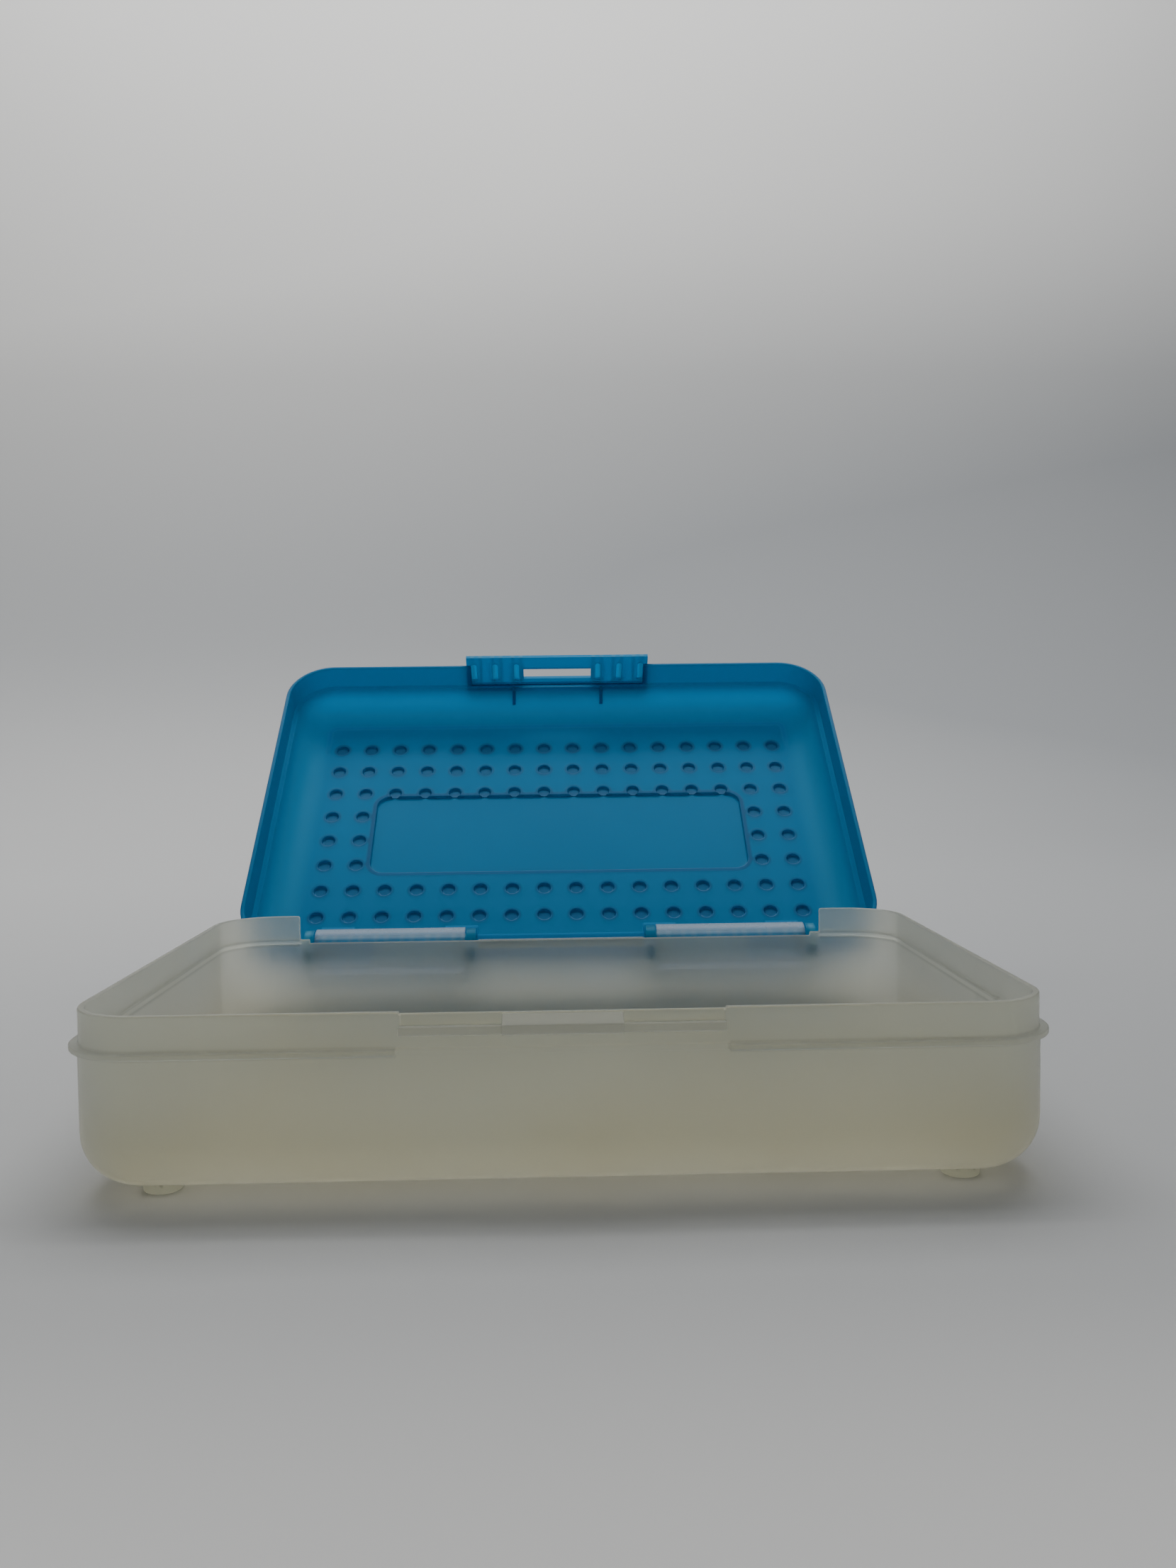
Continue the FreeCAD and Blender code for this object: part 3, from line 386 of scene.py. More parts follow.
def blue_polypropylene(looks):
    """The lid's satin blue, deeper in the studs and the panel's border, painted paler round the walls
    where light comes through, with a painted highlight along the inner front crease.
    """
    mix = Recipe("blue_plastic")
    turned = mix.node(
        "ShaderNodeMapping", {}, mix.place(), Location=SHUT.translation, Rotation=(OPEN_ANGLE, 0, 0)
    )
    across, back, height = mix.parts(turned)
    high = shut_span_of("lid_shell")[1]
    inset = mix.inset(across, back, high.x * MM, LID_HALF_DEPTH * MM, CORNER * MM)
    top = mix.fade(height, (high.z - 6, high.z - 5))
    plate = mix.fade(inset, PLATE_INSET) * top
    first_y, pitch_x, pitch_y = [length * MM for length in stud_pitch()[1:]]
    side, along = across.cell_offset(pitch_x), back.cell_offset(pitch_y)
    reach = (side * side + along * along).root()
    past_rows = 4 * MM
    rows = 1 - mix.step(back.size(), first_y + past_rows, first_y + past_rows + 0.5 * MM)
    middle = (PANEL_FRONT + PANEL_REAR) / 2 * MM
    half_panel = (PANEL_REAR - PANEL_FRONT) / 2 * MM
    panel_inset = mix.inset(across, back - middle, PANEL_HALF * MM, half_panel, PANEL_CORNER * MM)
    panel = mix.fade(panel_inset, PANEL_FADE)
    rim = mix.fade(panel_inset, RIM_OUTSIDE) - mix.fade(panel_inset, RIM_INSIDE)
    studs = (1 - mix.fade(reach, STUD_REACH)) * rows * (1 - panel)
    beyond = 1 - mix.fade(inset, BEYOND_INSET)
    edge = (1 - mix.fade(inset, EDGE_INSET)) * (1 - beyond)
    grip = (across.size() - (GRIP_FIRST - GRIP_PITCH / 2) * MM).cell_offset(GRIP_PITCH * MM).size()
    grips = (mix.fade(grip, GRIP_INSIDE) - mix.fade(grip, GRIP_OUTSIDE)) * beyond
    grips = grips * mix.fade(across.size(), GRIP_START)
    marks = (studs * STUD_DEPTH + rim) * plate + plate * panel * PANEL_DEPTH
    deep = (marks + edge * EDGE_DEPTH + grips * GRIP_DEPTH).clamped()
    # Painted highlight: a pale band along the inner rounding at the front, on the inner face only,
    # standing in for the lamp's highlight on that fillet; it also gets more milk below.
    crease = mix.fade(inset, CREASE_START) - mix.fade(inset, CREASE_END)
    front = 1 - mix.fade(back, CREASE_BACK)
    within = 1 - mix.fade(height, (high.z - 1.9, high.z - 1.5))
    shine = crease * front * within * top
    # Painted light: the walls and the tab are painted paler, standing in for more light coming through
    # them.
    walls = mix.fade(inset, WALL_START) * (1 - mix.fade(inset, WALL_END))
    pale = walls + beyond * TAB_PALENESS
    cloud = mix.noise(45 * MM, 3.0)
    colour = mix.blend(cloud * 0.2, with_alpha(looks.blue_colour), with_alpha(looks.deep_colour))
    colour = mix.blend(deep, colour, with_alpha(looks.deep_colour))
    colour = mix.blend(pale * WALL_PALENESS, colour, with_alpha(looks.pale_colour))
    colour = mix.blend(shine * CREASE_HIGHLIGHT, colour, CREASE_HIGHLIGHT_COLOUR)
    grain = mix.noise(0.4 * MM, 2.0)
    waves = mix.noise(11 * MM, 2.0)
    scuffs = mix.scratches(22 * MM, 0.22 * MM, (0.6, 0.1, 0.4), 0.32)
    rough = looks.blue_rough + waves * 0.08 + scuffs * 0.14
    normal = mix.bump(grain * 0.5 + waves * 0.6 + scuffs * 0.2, 0.25, 0.08 * MM)
    plastic = mix.plastic(colour, rough, normal, looks.glow_colour, LID_SHEER)
    share = (0.5 - deep * 0.4 + pale * 0.15 + shine * 0.4).clamped()
    return mix.milky(plastic, share, with_alpha(looks.glow_colour))


MAKERS = {
    "frosted_plastic": frosted_polypropylene,
    "frosted_lugs": frosted_lugs,
    "clear_plastic": clear_polypropylene,
    "blue_plastic": blue_polypropylene,
}


def material_of(name):
    """The material of that name, made on first use."""
    made = bpy.data.materials.get(name)
    return made or MAKERS[name](bpy.context.scene.case_looks)


def arc(centre, radius, start, end, steps):
    """Points along an arc in a section; angles in degrees, 0 inwards and 90 up."""
    points = []
    for index in range(steps + 1):
        angle = math.radians(start + (end - start) * index / steps)
        across, up = math.cos(angle), math.sin(angle)
        points.append((centre[0] + radius * across, centre[1] + radius * up))
    return points


class Border:
    """The case's rounded outline: places along it, each with its outward direction."""

    def __init__(self, half_x, half_y, corner, stops_x, stops_y, corner_steps=14):
        self.stations = []
        sides = [
            ((0, -1), half_x, half_y, stops_x[0], 1),
            ((1, 0), half_y, half_x, stops_y, 1),
            ((0, 1), half_x, half_y, stops_x[1], -1),
            ((-1, 0), half_y, half_x, stops_y, -1),
        ]
        for (nx, ny), along_half, out_half, stops, run in sides:
            flat = along_half - corner
            places = sorted({-flat, flat, *[stop for stop in stops if abs(stop) < flat]})
            for along in places if run > 0 else reversed(places):
                point = Vector((along, ny * out_half)) if nx == 0 else Vector((nx * out_half, along))
                self.stations.append((point, Vector((nx, ny))))
            last, normal = self.stations[-1]
            centre = last - normal * corner
            for index in range(1, corner_steps):
                turn = Matrix.Rotation(math.pi / 2 * index / corner_steps, 2)
                direction = turn @ normal
                self.stations.append((centre + direction * corner, direction))


def loft(bm, border, section):
    """Skins a closed border with a section that may change from place to place.

    section(place, normal) gives the same number of (inset, height) points at every place.
    The first and last loops of points are given back, for caps."""
    columns = []
    for point, normal in border.stations:
        column = []
        for inset, height in section(point, normal):
            flat = point - normal * inset
            column.append(bm.verts.new((flat.x, flat.y, height)))
        columns.append(column)
    for near, far in zip(columns, columns[1:] + columns[:1]):
        for index in range(len(near) - 1):
            bm.faces.new((near[index], far[index], far[index + 1], near[index + 1]))
    return [column[0] for column in columns], [column[-1] for column in columns]


def inside(point, ring):
    """Whether a point lies within a closed loop of points."""
    crossings = 0
    for a, b in zip(ring, ring[1:] + ring[:1]):
        if (a.y > point.y) != (b.y > point.y):
            crossings += point.x < a.x + (b.x - a.x) * (point.y - a.y) / (b.y - a.y)
    return crossings % 2 == 1


def cap(bm, loop, holes):
    """Fills a level loop with triangles, leaving out the holes, which are loops of their own."""
    points, edges, owners, rings = [], [], [], []
    for ring in [loop] + holes:
        first = len(points)
        count = len(ring)
        points += [vertex.co.to_2d() for vertex in ring]
        owners += [(vertex, len(rings)) for vertex in ring]
        edges += [(first + i, first + (i + 1) % count) for i in range(count)]
        rings.append(points[first:])
    _, _, faces, origins, _, _ = delaunay_2d_cdt(points, edges, [], 1, 1e-7)
    for face in faces:
        corners = [origins[index][0] for index in face]
        homes = {owners[corner][1] for corner in corners}
        home = homes.pop()
        middle = sum((points[corner] for corner in corners), Vector((0, 0))) / 3
        if not homes and home > 0 and inside(middle, rings[home]):
            continue
        bm.faces.new([owners[corner][0] for corner in corners])


def skin_rings(bm, rings):
    """Joins loops of equal length, one inside the next."""
    for near, far in zip(rings, rings[1:]):
        count = len(near)
        for index in range(count):
            after = (index + 1) % count
            bm.faces.new((near[index], near[after], far[after], far[index]))


def add_bumps(bm, outline, steps, height):
    """A raised or sunken island in a level face: loops that grow and rise step by step.

    outline(grow) gives its plan, steps are (grow, rise) pairs. Its widest loop is given back."""
    rings = []
    for grow, rise in steps:
        rings.append([bm.verts.new((x, y, height + rise)) for x, y in outline(grow)])
    skin_rings(bm, rings)
    cap(bm, rings[-1], [])
    return rings[0]


def circle_plan(x, y, radius, steps=24):
    """A round plan that can grow by a length."""

    def outline(grow):
        """The circle, grown outward by a length."""
        turns = [2 * math.pi * index / steps for index in range(steps)]
        reach = radius + grow
        return [(x + reach * math.cos(turn), y + reach * math.sin(turn)) for turn in turns]

    return outline


def block(bm, low, high, round_by):
    """A block with softened edges, from corner to corner."""
    made = bmesh.ops.create_cube(bm, size=1.0)["verts"]
    size = Vector(high) - Vector(low)
    middle = (Vector(high) + Vector(low)) / 2
    for vertex in made:
        vertex.co = middle + Vector([a * b for a, b in zip(vertex.co, size)])
    edges = list({edge for vertex in made for edge in vertex.link_edges})
    bmesh.ops.bevel(bm, geom=edges, offset=round_by, segments=3, profile=0.5, affect="EDGES")


def placed(name, data):
    """A new object in the scene that shows a mesh, a lamp or a camera."""
    made = bpy.data.objects.new(name, data)
    bpy.context.scene.collection.objects.link(made)
    return made


def make_piece(name, bm, material, body, stands_for, opened=False):
    """Turns millimetres into the frame's metres and hangs the piece on its body."""
    bmesh.ops.remove_doubles(bm, verts=bm.verts, dist=JOIN_WITHIN)
    bmesh.ops.dissolve_degenerate(bm, edges=bm.edges, dist=JOIN_WITHIN)
    bmesh.ops.recalc_face_normals(bm, faces=bm.faces)
    bmesh.ops.transform(bm, matrix=Matrix.Scale(MM, 4), verts=bm.verts)
    if opened:
        bmesh.ops.transform(bm, matrix=OPENED, verts=bm.verts)
    mesh = bpy.data.meshes.new(name)
    bm.to_mesh(mesh)
    bm.free()
    for face in mesh.polygons:
        face.use_smooth = True
    piece = placed(name, mesh)
    mesh.materials.append(material_of(material))
    shading = piece.modifiers.new("shading", "WEIGHTED_NORMAL")
    shading.weight = 100
    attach(piece, body)
    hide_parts(*stands_for)
    return piece


def near_stops(*places):
    """Stations just before and after each place where a section changes."""
    shifts = (-STATION_GAP, STATION_GAP)
    return [sign * place + shift for place in places for sign in (-1, 1) for shift in shifts]


def build_tray():
    """The tray, lofted round its outline with every change of flange and collar."""
    low, high = span_of("base_tray")
    catch_high = span_of("latch_catch")[1]
    rail_high = span_of("rear_rail")[1]
    half_x, half_y = high.x, high.y
    base_round, middle_z = 12.0, 24.0
    body_inset, collar_inset = 1.75, 2.0
    collar_top, dip_top, low_top = high.z, catch_high.z, rail_high.z
    no_flange = body_inset - 0.01
    recess, end_round = 0.5, 0.6
    gap_half, ledge_half = 35.2, catch_high.x
    rear_half, low_half = 83.0, 80.0
    step_top = FLANGE_HIGH + 0.2
    steps = [0.0, 0.05, 0.15, 0.3, end_round]
    front_stops = near_stops(gap_half, ledge_half, ledge_half - recess, NOSE_HALF)
    rear_stops = near_stops(low_half)
    rear_stops += [sign * (rear_half + step) for sign in (-1, 1) for step in [-0.02] + steps]
    front_stops += [sign * place for sign in (-1, 1) for place in (0, 20, 50, 70)]
    rear_stops += [sign * place for sign in (-1, 1) for place in (0, 30, 60)]
    border = Border(half_x, half_y, CORNER, (front_stops, rear_stops), SIDE_STOPS)

    def rim(place, normal):
        """The wall's top, and how far in the collar's and the flange's faces stand there."""
        across = abs(place.x)
        top, face, flange = collar_top, collar_inset, 0.0
        if normal.y < -FACING:
            flange = no_flange if across < gap_half else 0.0
            top = dip_top if across < ledge_half else collar_top
            recessed = NOSE_HALF < across < ledge_half - recess
            face = collar_inset + recess if recessed else collar_inset
        if normal.y > FACING:
            flange = no_flange if across < rear_half else 0.0
            if across < low_half:
                top, face = low_top, body_inset
            elif across < rear_half:
                top = step_top
            else:
                outward = min(1.0, (across - rear_half) / steps[-1])
                top = collar_top - end_round * (1 - math.sqrt(1 - (1 - outward) ** 2))
        return top, face, flange

    def section(place, normal):
        """The wall's section there, from the floor's edge over the rim to the underside."""
        top, face, flange = rim(place, normal)
        inside = collar_inset + WALL
        centre = (inside + base_round - WALL, low.z + base_round)
        points = arc(centre, base_round - WALL, 270, 180, 9)
        points += [(inside, middle_z), (inside, top - 3 * EDGE)]
        points += arc((inside - EDGE, top - EDGE), EDGE, 0, 90, 3)
        points += arc((face + EDGE, top - EDGE), EDGE, 90, 180, 3)
        points += [(face, LEDGE_TOP + 0.03), (collar_inset, LEDGE_TOP - 0.03)]
        foot = min(ROOT_FILLET, collar_inset - flange)
        points += [(collar_inset, FLANGE_HIGH + foot)]
        points += [(collar_inset - foot * 0.5, FLANGE_HIGH + foot * 0.12)]
        points += [(collar_inset - foot, FLANGE_HIGH)]
        edge = min(EDGE, (collar_inset - flange) / 2)
        points += arc((flange + edge, FLANGE_HIGH - edge), edge, 90, 180, 3)
        points += arc((flange + edge, FLANGE_LOW + edge), edge, 180, 270, 3)
        root = min(ROOT_FILLET, body_inset - flange)
        points += [(body_inset - root, FLANGE_LOW), (body_inset, FLANGE_LOW - root)]
        points += [(body_inset, middle_z)]
        points += arc((body_inset + base_round, low.z + base_round), base_round, 180, 270, 12)
        limit, upper_points = top - EDGE, 18
        trimmed = [(inset, min(height, top)) for inset, height in points[:upper_points]]
        for inset, height in points[upper_points:]:
            trimmed.append((max(inset, face) if height > limit else inset, min(height, limit)))
        return trimmed

    bm = bmesh.new()
    floor_loop, under_loop = loft(bm, border, section)
    cap(bm, floor_loop, [])
    cap(bm, under_loop, [])
    return make_piece("tray", bm, "frosted_plastic", "base", ["base_tray"])


def stud_places():
    """The studs' middles, those cut by the panel's front edge apart from the rest."""
    first_x, first_y, pitch_x, pitch_y = stud_pitch()
    free, cut = [], []
    for row in range(STUD_ROWS):
        y = row * pitch_y - first_y
        for column in range(STUD_COLUMNS):
            x = column * pitch_x - first_x
            if abs(x) > PANEL_HALF or y > PANEL_REAR or y < PANEL_FRONT - 4:
                free.append((x, y))
            elif y < PANEL_FRONT:
                cut.append((x, y))
    return free, cut


def panel_plan(cut, inset, radius):
    """The panel's outline, with the cut studs standing out along its front edge."""
    stud_steps, corner_steps, least_chord = 16, 8, 0.05

    def outline(grow):
        """The plan, grown outward by a length."""
        half, front = PANEL_HALF - inset + grow, PANEL_FRONT + inset - grow
        rear, corner = PANEL_REAR - inset + grow, PANEL_CORNER - inset + grow
        points = []
        for x, y in cut:
            reach = radius + grow
            drop = front - y
            chord = math.sqrt(max(reach**2 - drop**2, least_chord**2))
            start = math.atan2(drop, -chord)
            turn = 2 * math.pi - 2 * math.atan2(chord, drop)
            for index in range(stud_steps + 1):
                angle = start + turn * index / stud_steps
                points.append((x + reach * math.cos(angle), y + reach * math.sin(angle)))
        for sign_x, sign_y, first in ((1, -1, 270), (1, 1, 0), (-1, 1, 90), (-1, -1, 180)):
            middle_x = sign_x * (half - corner)
            middle_y = (rear - corner) if sign_y > 0 else (front + corner)
            for index in range(corner_steps + 1):
                angle = math.radians(first + 90 * index / corner_steps)
                across, along = corner * math.cos(angle), corner * math.sin(angle)
                points.append((middle_x + across, middle_y + along))
        return points

    return outline


def build_lid(shape):
    """The lid's shell, drawn shut: skirt, shelf, rounding, and a plate with hollow studs."""
    low, high = shut_span_of("lid_shell")
    rim_z, plate_z = low.z, high.z - BAND_RISE
    shelf_z, tab_root = rim_z + SHELF_RISE, rim_z + TAB_ROOT_RISE
    opening_half, barrel_near, barrel_far = 35.4, 30.7, 79.3
    notch_chamfer, shelf_edge, skirt_middle, sliver = 0.75, 0.45, 40.0, 0.03
    centre_inset, centre_z = SHELF_INSET + LID_ROUND, plate_z - LID_ROUND
    outer_start = math.degrees(math.asin((shelf_z - centre_z) / LID_ROUND))
    inner_round = LID_ROUND - WALL
    inner_start = math.degrees(math.asin((shelf_z - WALL - centre_z) / inner_round))
    front_stops = near_stops(opening_half) + [-60, -15, 0, 15, 60]
    rear_stops = near_stops(barrel_near, barrel_far) + [-50, 0, 50]
    border = Border(high.x, LID_HALF_DEPTH, CORNER, (front_stops, rear_stops), SIDE_STOPS)

    def section(place, normal):
        """The shell's section there, from the plate's top round the rim to its underside."""
        across = abs(place.x)
        open_here = normal.y < -FACING and across < opening_half
        notched = normal.y > FACING and barrel_near < across < barrel_far
        bottom = tab_root if open_here else rim_z
        chamfer = notch_chamfer if notched else EDGE
        points = arc((centre_inset, centre_z), LID_ROUND, 90, 180 - outer_start, 14)
        ledge = points[-1][0]
        points += [(ledge - 0.15, shelf_z)]
        points += arc((shelf_edge, shelf_z - shelf_edge * 0.999), shelf_edge, 90, 180, 3)
        if open_here:
            points += [(0.0, shelf_z - 0.47), (0.0, bottom + 0.01)]
            points += [(sliver * count, bottom) for count in (1, 2, 3)]
        else:
            points += [(0.0, max(bottom + chamfer, skirt_middle))]
            points += arc((chamfer, bottom + chamfer), chamfer, 180, 270, 3)
        inner_x, under = SHELF_INSET if open_here else WALL, shelf_z - WALL
        fillet = 0.0 if open_here else ROOT_FILLET
        points += [(inner_x - ROOT_FILLET, bottom), (inner_x, bottom + fillet)]
        points += [(inner_x, under - fillet), (inner_x + fillet, under)]
        inner = arc((centre_inset, centre_z), inner_round, 180 - inner_start, 90, 14)
        return points + [(inner[0][0] - ROOT_FILLET, under)] + inner

    bm = bmesh.new()
    outer_loop, inner_loop = loft(bm, border, section)
    free, cut = stud_places()
    inner_z = plate_z - WALL
    rise, outer = BAND_RISE, shape.stud_radius / MM
    inner = outer - shape.stud_wall / MM
    soft = [(0.35, 0.0), (0.15, 0.02), (0.0, 0.14)]
    soft += [(-0.03, rise - 0.3), (-0.12, rise - 0.08), (-0.35, rise)]
    dent = [(0.45, 0.0), (0.2, 0.03), (0.05, 0.16)]
    dent += [(0.0, rise - 0.35), (-0.15, rise - 0.1), (-0.5, rise)]
    outer_holes = [add_bumps(bm, circle_plan(x, y, outer), soft, plate_z) for x, y in free]
    outer_holes.append(add_bumps(bm, panel_plan(cut, 0.0, outer), soft, plate_z))
    inner_holes = [add_bumps(bm, circle_plan(x, y, inner), dent, inner_z) for x, y in free]
    inner_holes.append(add_bumps(bm, panel_plan(cut, 1.0, inner), dent, inner_z))
    cap(bm, outer_loop, outer_holes)
    cap(bm, inner_loop, inner_holes)
    return bm


def add_rib(bm, middle, top_z):
    """One curved rib inside the lid's front rounding, middle being its place across."""
    steps, half_thick, start, sweep = 6, 0.6, 7, 33
    inner, outer = LID_ROUND - WALL - 1.4, LID_ROUND - WALL / 2
    rows = []
    for index in range(steps + 1):
        angle = math.radians(start + sweep * index / steps)
        row = []
        for radius in (inner, outer):
            y = -(LID_HALF_DEPTH - SHELF_INSET - LID_ROUND + radius * math.cos(angle))
            z = top_z - LID_ROUND + radius * math.sin(angle)
            row += [bm.verts.new((middle + shift, y, z)) for shift in (-half_thick, half_thick)]
        rows.append(row)
    for near, far in zip(rows, rows[1:]):
        for first, second in ((0, 1), (1, 3), (3, 2), (2, 0)):
            bm.faces.new((near[first], near[second], far[second], far[first]))
    bm.faces.new((rows[0][0], rows[0][1], rows[0][3], rows[0][2]))
    bm.faces.new((rows[-1][0], rows[-1][2], rows[-1][3], rows[-1][1]))


def add_lid_fittings(bm):
    """The tab's shelf, the ribs inside the front wall, and the lip and pads along the rear rim."""
    low, high = shut_span_of("lid_shell")
    rim_z = low.z
    shelf_half, lip_half, lip_thick, round_by, rib_side = 37.2, 79.5, 1.5, 0.25, 18.0
    shelf_low, shelf_high = rim_z + TAB_ROOT_RISE, rim_z + TAB_ROOT_RISE + WALL
    block(bm, (-shelf_half, -73.5, shelf_low), (shelf_half, -69.2, shelf_high), round_by)
    block(bm, (-lip_half, 68.1, rim_z), (lip_half, 70.6, rim_z + lip_thick), round_by)
    for side in (-1, 1):
        for near, far in ((27.5, 38.5), (68.5, lip_half)):
            start, end = sorted((side * near, side * far))
            block(bm, (start, 64.3, rim_z), (end, 68.4, rim_z + lip_thick), round_by)
        add_rib(bm, side * rib_side, high.z - BAND_RISE)


def prism(bm, outline, start, end, round_by):
    """An outline in Y and Z, drawn out along X, with softened edges."""
    ends = [[bm.verts.new((x, y, z)) for y, z in outline] for x in (start, end)]
    faces = [bm.faces.new(ends[0]), bm.faces.new(ends[1][::-1])]
    count = len(outline)
    for index in range(count):
        after = (index + 1) % count
        faces.append(bm.faces.new((ends[0][index], ends[1][index], ends[1][after], ends[0][after])))
    edges = list({edge for face in faces for edge in face.edges})
    bmesh.ops.recalc_face_normals(bm, faces=faces)
    bmesh.ops.bevel(bm, geom=edges, offset=round_by, segments=3, profile=0.5, affect="EDGES")


def build_catch():
    """The ledge across the collar's front, with the snap nose standing out of its middle."""
    low, high = span_of("latch_catch")
    collar, ledge_low, ledge_face, round_by = -69.3, low.z, low.y + 1.4, 0.25
    bm = bmesh.new()
    block(bm, (low.x, ledge_face, ledge_low), (high.x, collar, LEDGE_TOP), round_by)
    under, tip, nose_round = ledge_low + 0.2, ledge_low + 2.3, 0.22
    nose = [(collar, under), (low.y, under), (low.y, tip), (collar, high.z - 0.1)]
    prism(bm, nose, -NOSE_HALF, NOSE_HALF, nose_round)
    return make_piece("front_catch", bm, "frosted_lugs", "base", ["latch_catch"])


def build_foot(name, edge):
    """A round foot with a soft lower edge, its top lost in the tray's wall."""
    low, high = span_of(name)
    centre_x = math.copysign(FOOT_X, low.x)
    centre_y = math.copysign(FOOT_Y, low.y)
    radius, turns, round_top, around = (high.x - low.x) / 2, (0.3, 0.8, 1.2, 1.57), 1.3, 40
    bm = bmesh.new()
    section = [(radius, high.z), (radius, round_top)]
    section += [(radius - edge * (1 - math.cos(a)), edge * (1 - math.sin(a))) for a in turns]
    rings = []
    for reach, height in section:
        plan = circle_plan(centre_x, centre_y, reach, around)(0)
        rings.append([bm.verts.new((x, y, height)) for x, y in plan])
    skin_rings(bm, rings)
    cap(bm, rings[0], [])
    cap(bm, rings[-1], [])
    return make_piece("tray_" + name, bm, "clear_plastic", "base", [name])


def soften(name, title, material, body, round_by):
    """A moulded copy of a sharp node: flat faces joined up and every edge rounded."""
    bm = bmesh.new()
    bm.from_mesh(frame["nodes"][name].data)
    flat, least, same_metres = math.radians(1.0), math.radians(28), 1e-6
    bmesh.ops.remove_doubles(bm, verts=bm.verts, dist=same_metres)
    bmesh.ops.dissolve_limit(bm, angle_limit=flat, verts=bm.verts, edges=bm.edges)
    sharp = [edge for edge in bm.edges if edge.is_manifold and edge.calc_face_angle(0) > least]
    settings = {"segments": 2, "profile": 0.5, "affect": "EDGES", "clamp_overlap": True}
    bmesh.ops.bevel(bm, geom=sharp, offset=round_by, **settings)
    bmesh.ops.transform(bm, matrix=Matrix.Scale(1 / MM, 4), verts=bm.verts)
    return make_piece(title, bm, material, body, [name])


def nodes_like(start):
    """The frame's nodes whose names begin that way, in order."""
    return sorted(name for name in frame["nodes"] if name.startswith(start))


def add_floor(stage):
    """A pale floor that curves up into the background, shaded off towards the horizon."""
    bm = bmesh.new()
    front, back, half, rise, bend, steps = -2.5, 0.95, 3.0, 3.0, 0.45, 12
    section = [(front, 0.0), (back - bend, 0.0)]
    for index in range(1, steps + 1):
        angle = index / steps * math.pi / 2
        section.append((back - bend + bend * math.sin(angle), bend - bend * math.cos(angle)))
    section.append((back, rise))
    rows = []
    for y, z in section:
        rows.append([bm.verts.new((x, y, z)) for x in (-half, half)])
    for (a, b), (c, d) in zip(rows, rows[1:]):
        bm.faces.new((a, b, d, c)).smooth = True
    mesh = bpy.data.meshes.new("floor")
    bm.to_mesh(mesh)
    bm.free()
    floor = placed("floor", mesh)
    paper, matt, paper_gloss = Recipe("pale_paper"), 0.75, 0.25
    across, back, height = paper.parts(paper.place())
    # Painted light and shade on the paper: lighter near the camera, on the floor and high on the
    # backdrop, with painted shade where the floor bends up and towards the right.
    near = 1 - paper.step(back, -0.20, -0.10)
    ground = 1 - paper.step(height, 0.02, 0.20)
    upper = paper.step(height, 0.20, 0.66)
    cloud = paper.noise(0.5, 2.0)
    light = (near * 0.55 + ground * 0.33 + upper + (cloud - 0.5) * 0.1 - across * 0.5).clamped()
    colour = paper.blend(light, with_alpha(stage.shade_colour), with_alpha(stage.floor_colour))
    settings = {"Base_Color": colour, "Roughness": matt, "Specular_IOR_Level": paper_gloss}
    floor.data.materials.append(paper.finish(paper.node("ShaderNodeBsdfPrincipled", {}, **settings)))


def add_light(name, place, target, size, power):
    """A soft rectangular lamp, turned to face a place."""
    lamp = bpy.data.lights.new(name, "AREA")
    lamp.shape = "RECTANGLE"
    lamp.size, lamp.size_y = size
    lamp.energy = power
    holder = placed(name, lamp)
    holder.location = place
    aim = Vector(target) - Vector(place)
    holder.rotation_euler = aim.to_track_quat("-Z", "Y").to_euler()


def add_world(stage):
    """Soft light from all round, dimmer from the front."""
    world = bpy.data.worlds.new("studio")
    world.use_nodes = True
    tree = world.node_tree
    where = tree.nodes.new("ShaderNodeTexCoord")
    parts = tree.nodes.new("ShaderNodeSeparateXYZ")
    ramp = tree.nodes.new("ShaderNodeMapRange")
    background = tree.nodes["Background"]
    limits = {"From Min": -0.9, "From Max": 0.6, "To Min": stage.front_light, "To Max": stage.back_light}
    for title, value in limits.items():
        ramp.inputs[title].default_value = value
    background.inputs["Color"].default_value = (0.93, 0.96, 1.0, 1)
    tree.links.new(where.outputs["Generated"], parts.inputs["Vector"])
    tree.links.new(parts.outputs["Y"], ramp.inputs["Value"])
    tree.links.new(ramp.outputs["Result"], background.inputs["Strength"])
    bpy.context.scene.world = world


def add_camera(stage):
    """A camera just in front of the case, a little above it."""
    lens = bpy.data.cameras.new("camera")
    lens.sensor_width = 36
    lens.lens = stage.lens
    lens.clip_start = 0.01
    holder = placed("camera", lens)
    right = Vector((0.99962, -0.02481, -0.01199))
    up = Vector((0.01313, 0.04623, 0.99884))
    back = Vector((-0.02422, -0.99862, 0.04654))
    turn = Matrix((right, up, back)).transposed().to_4x4()
    holder.matrix_world = Matrix.Translation(stage.camera_place) @ turn
    bpy.context.scene.camera = holder


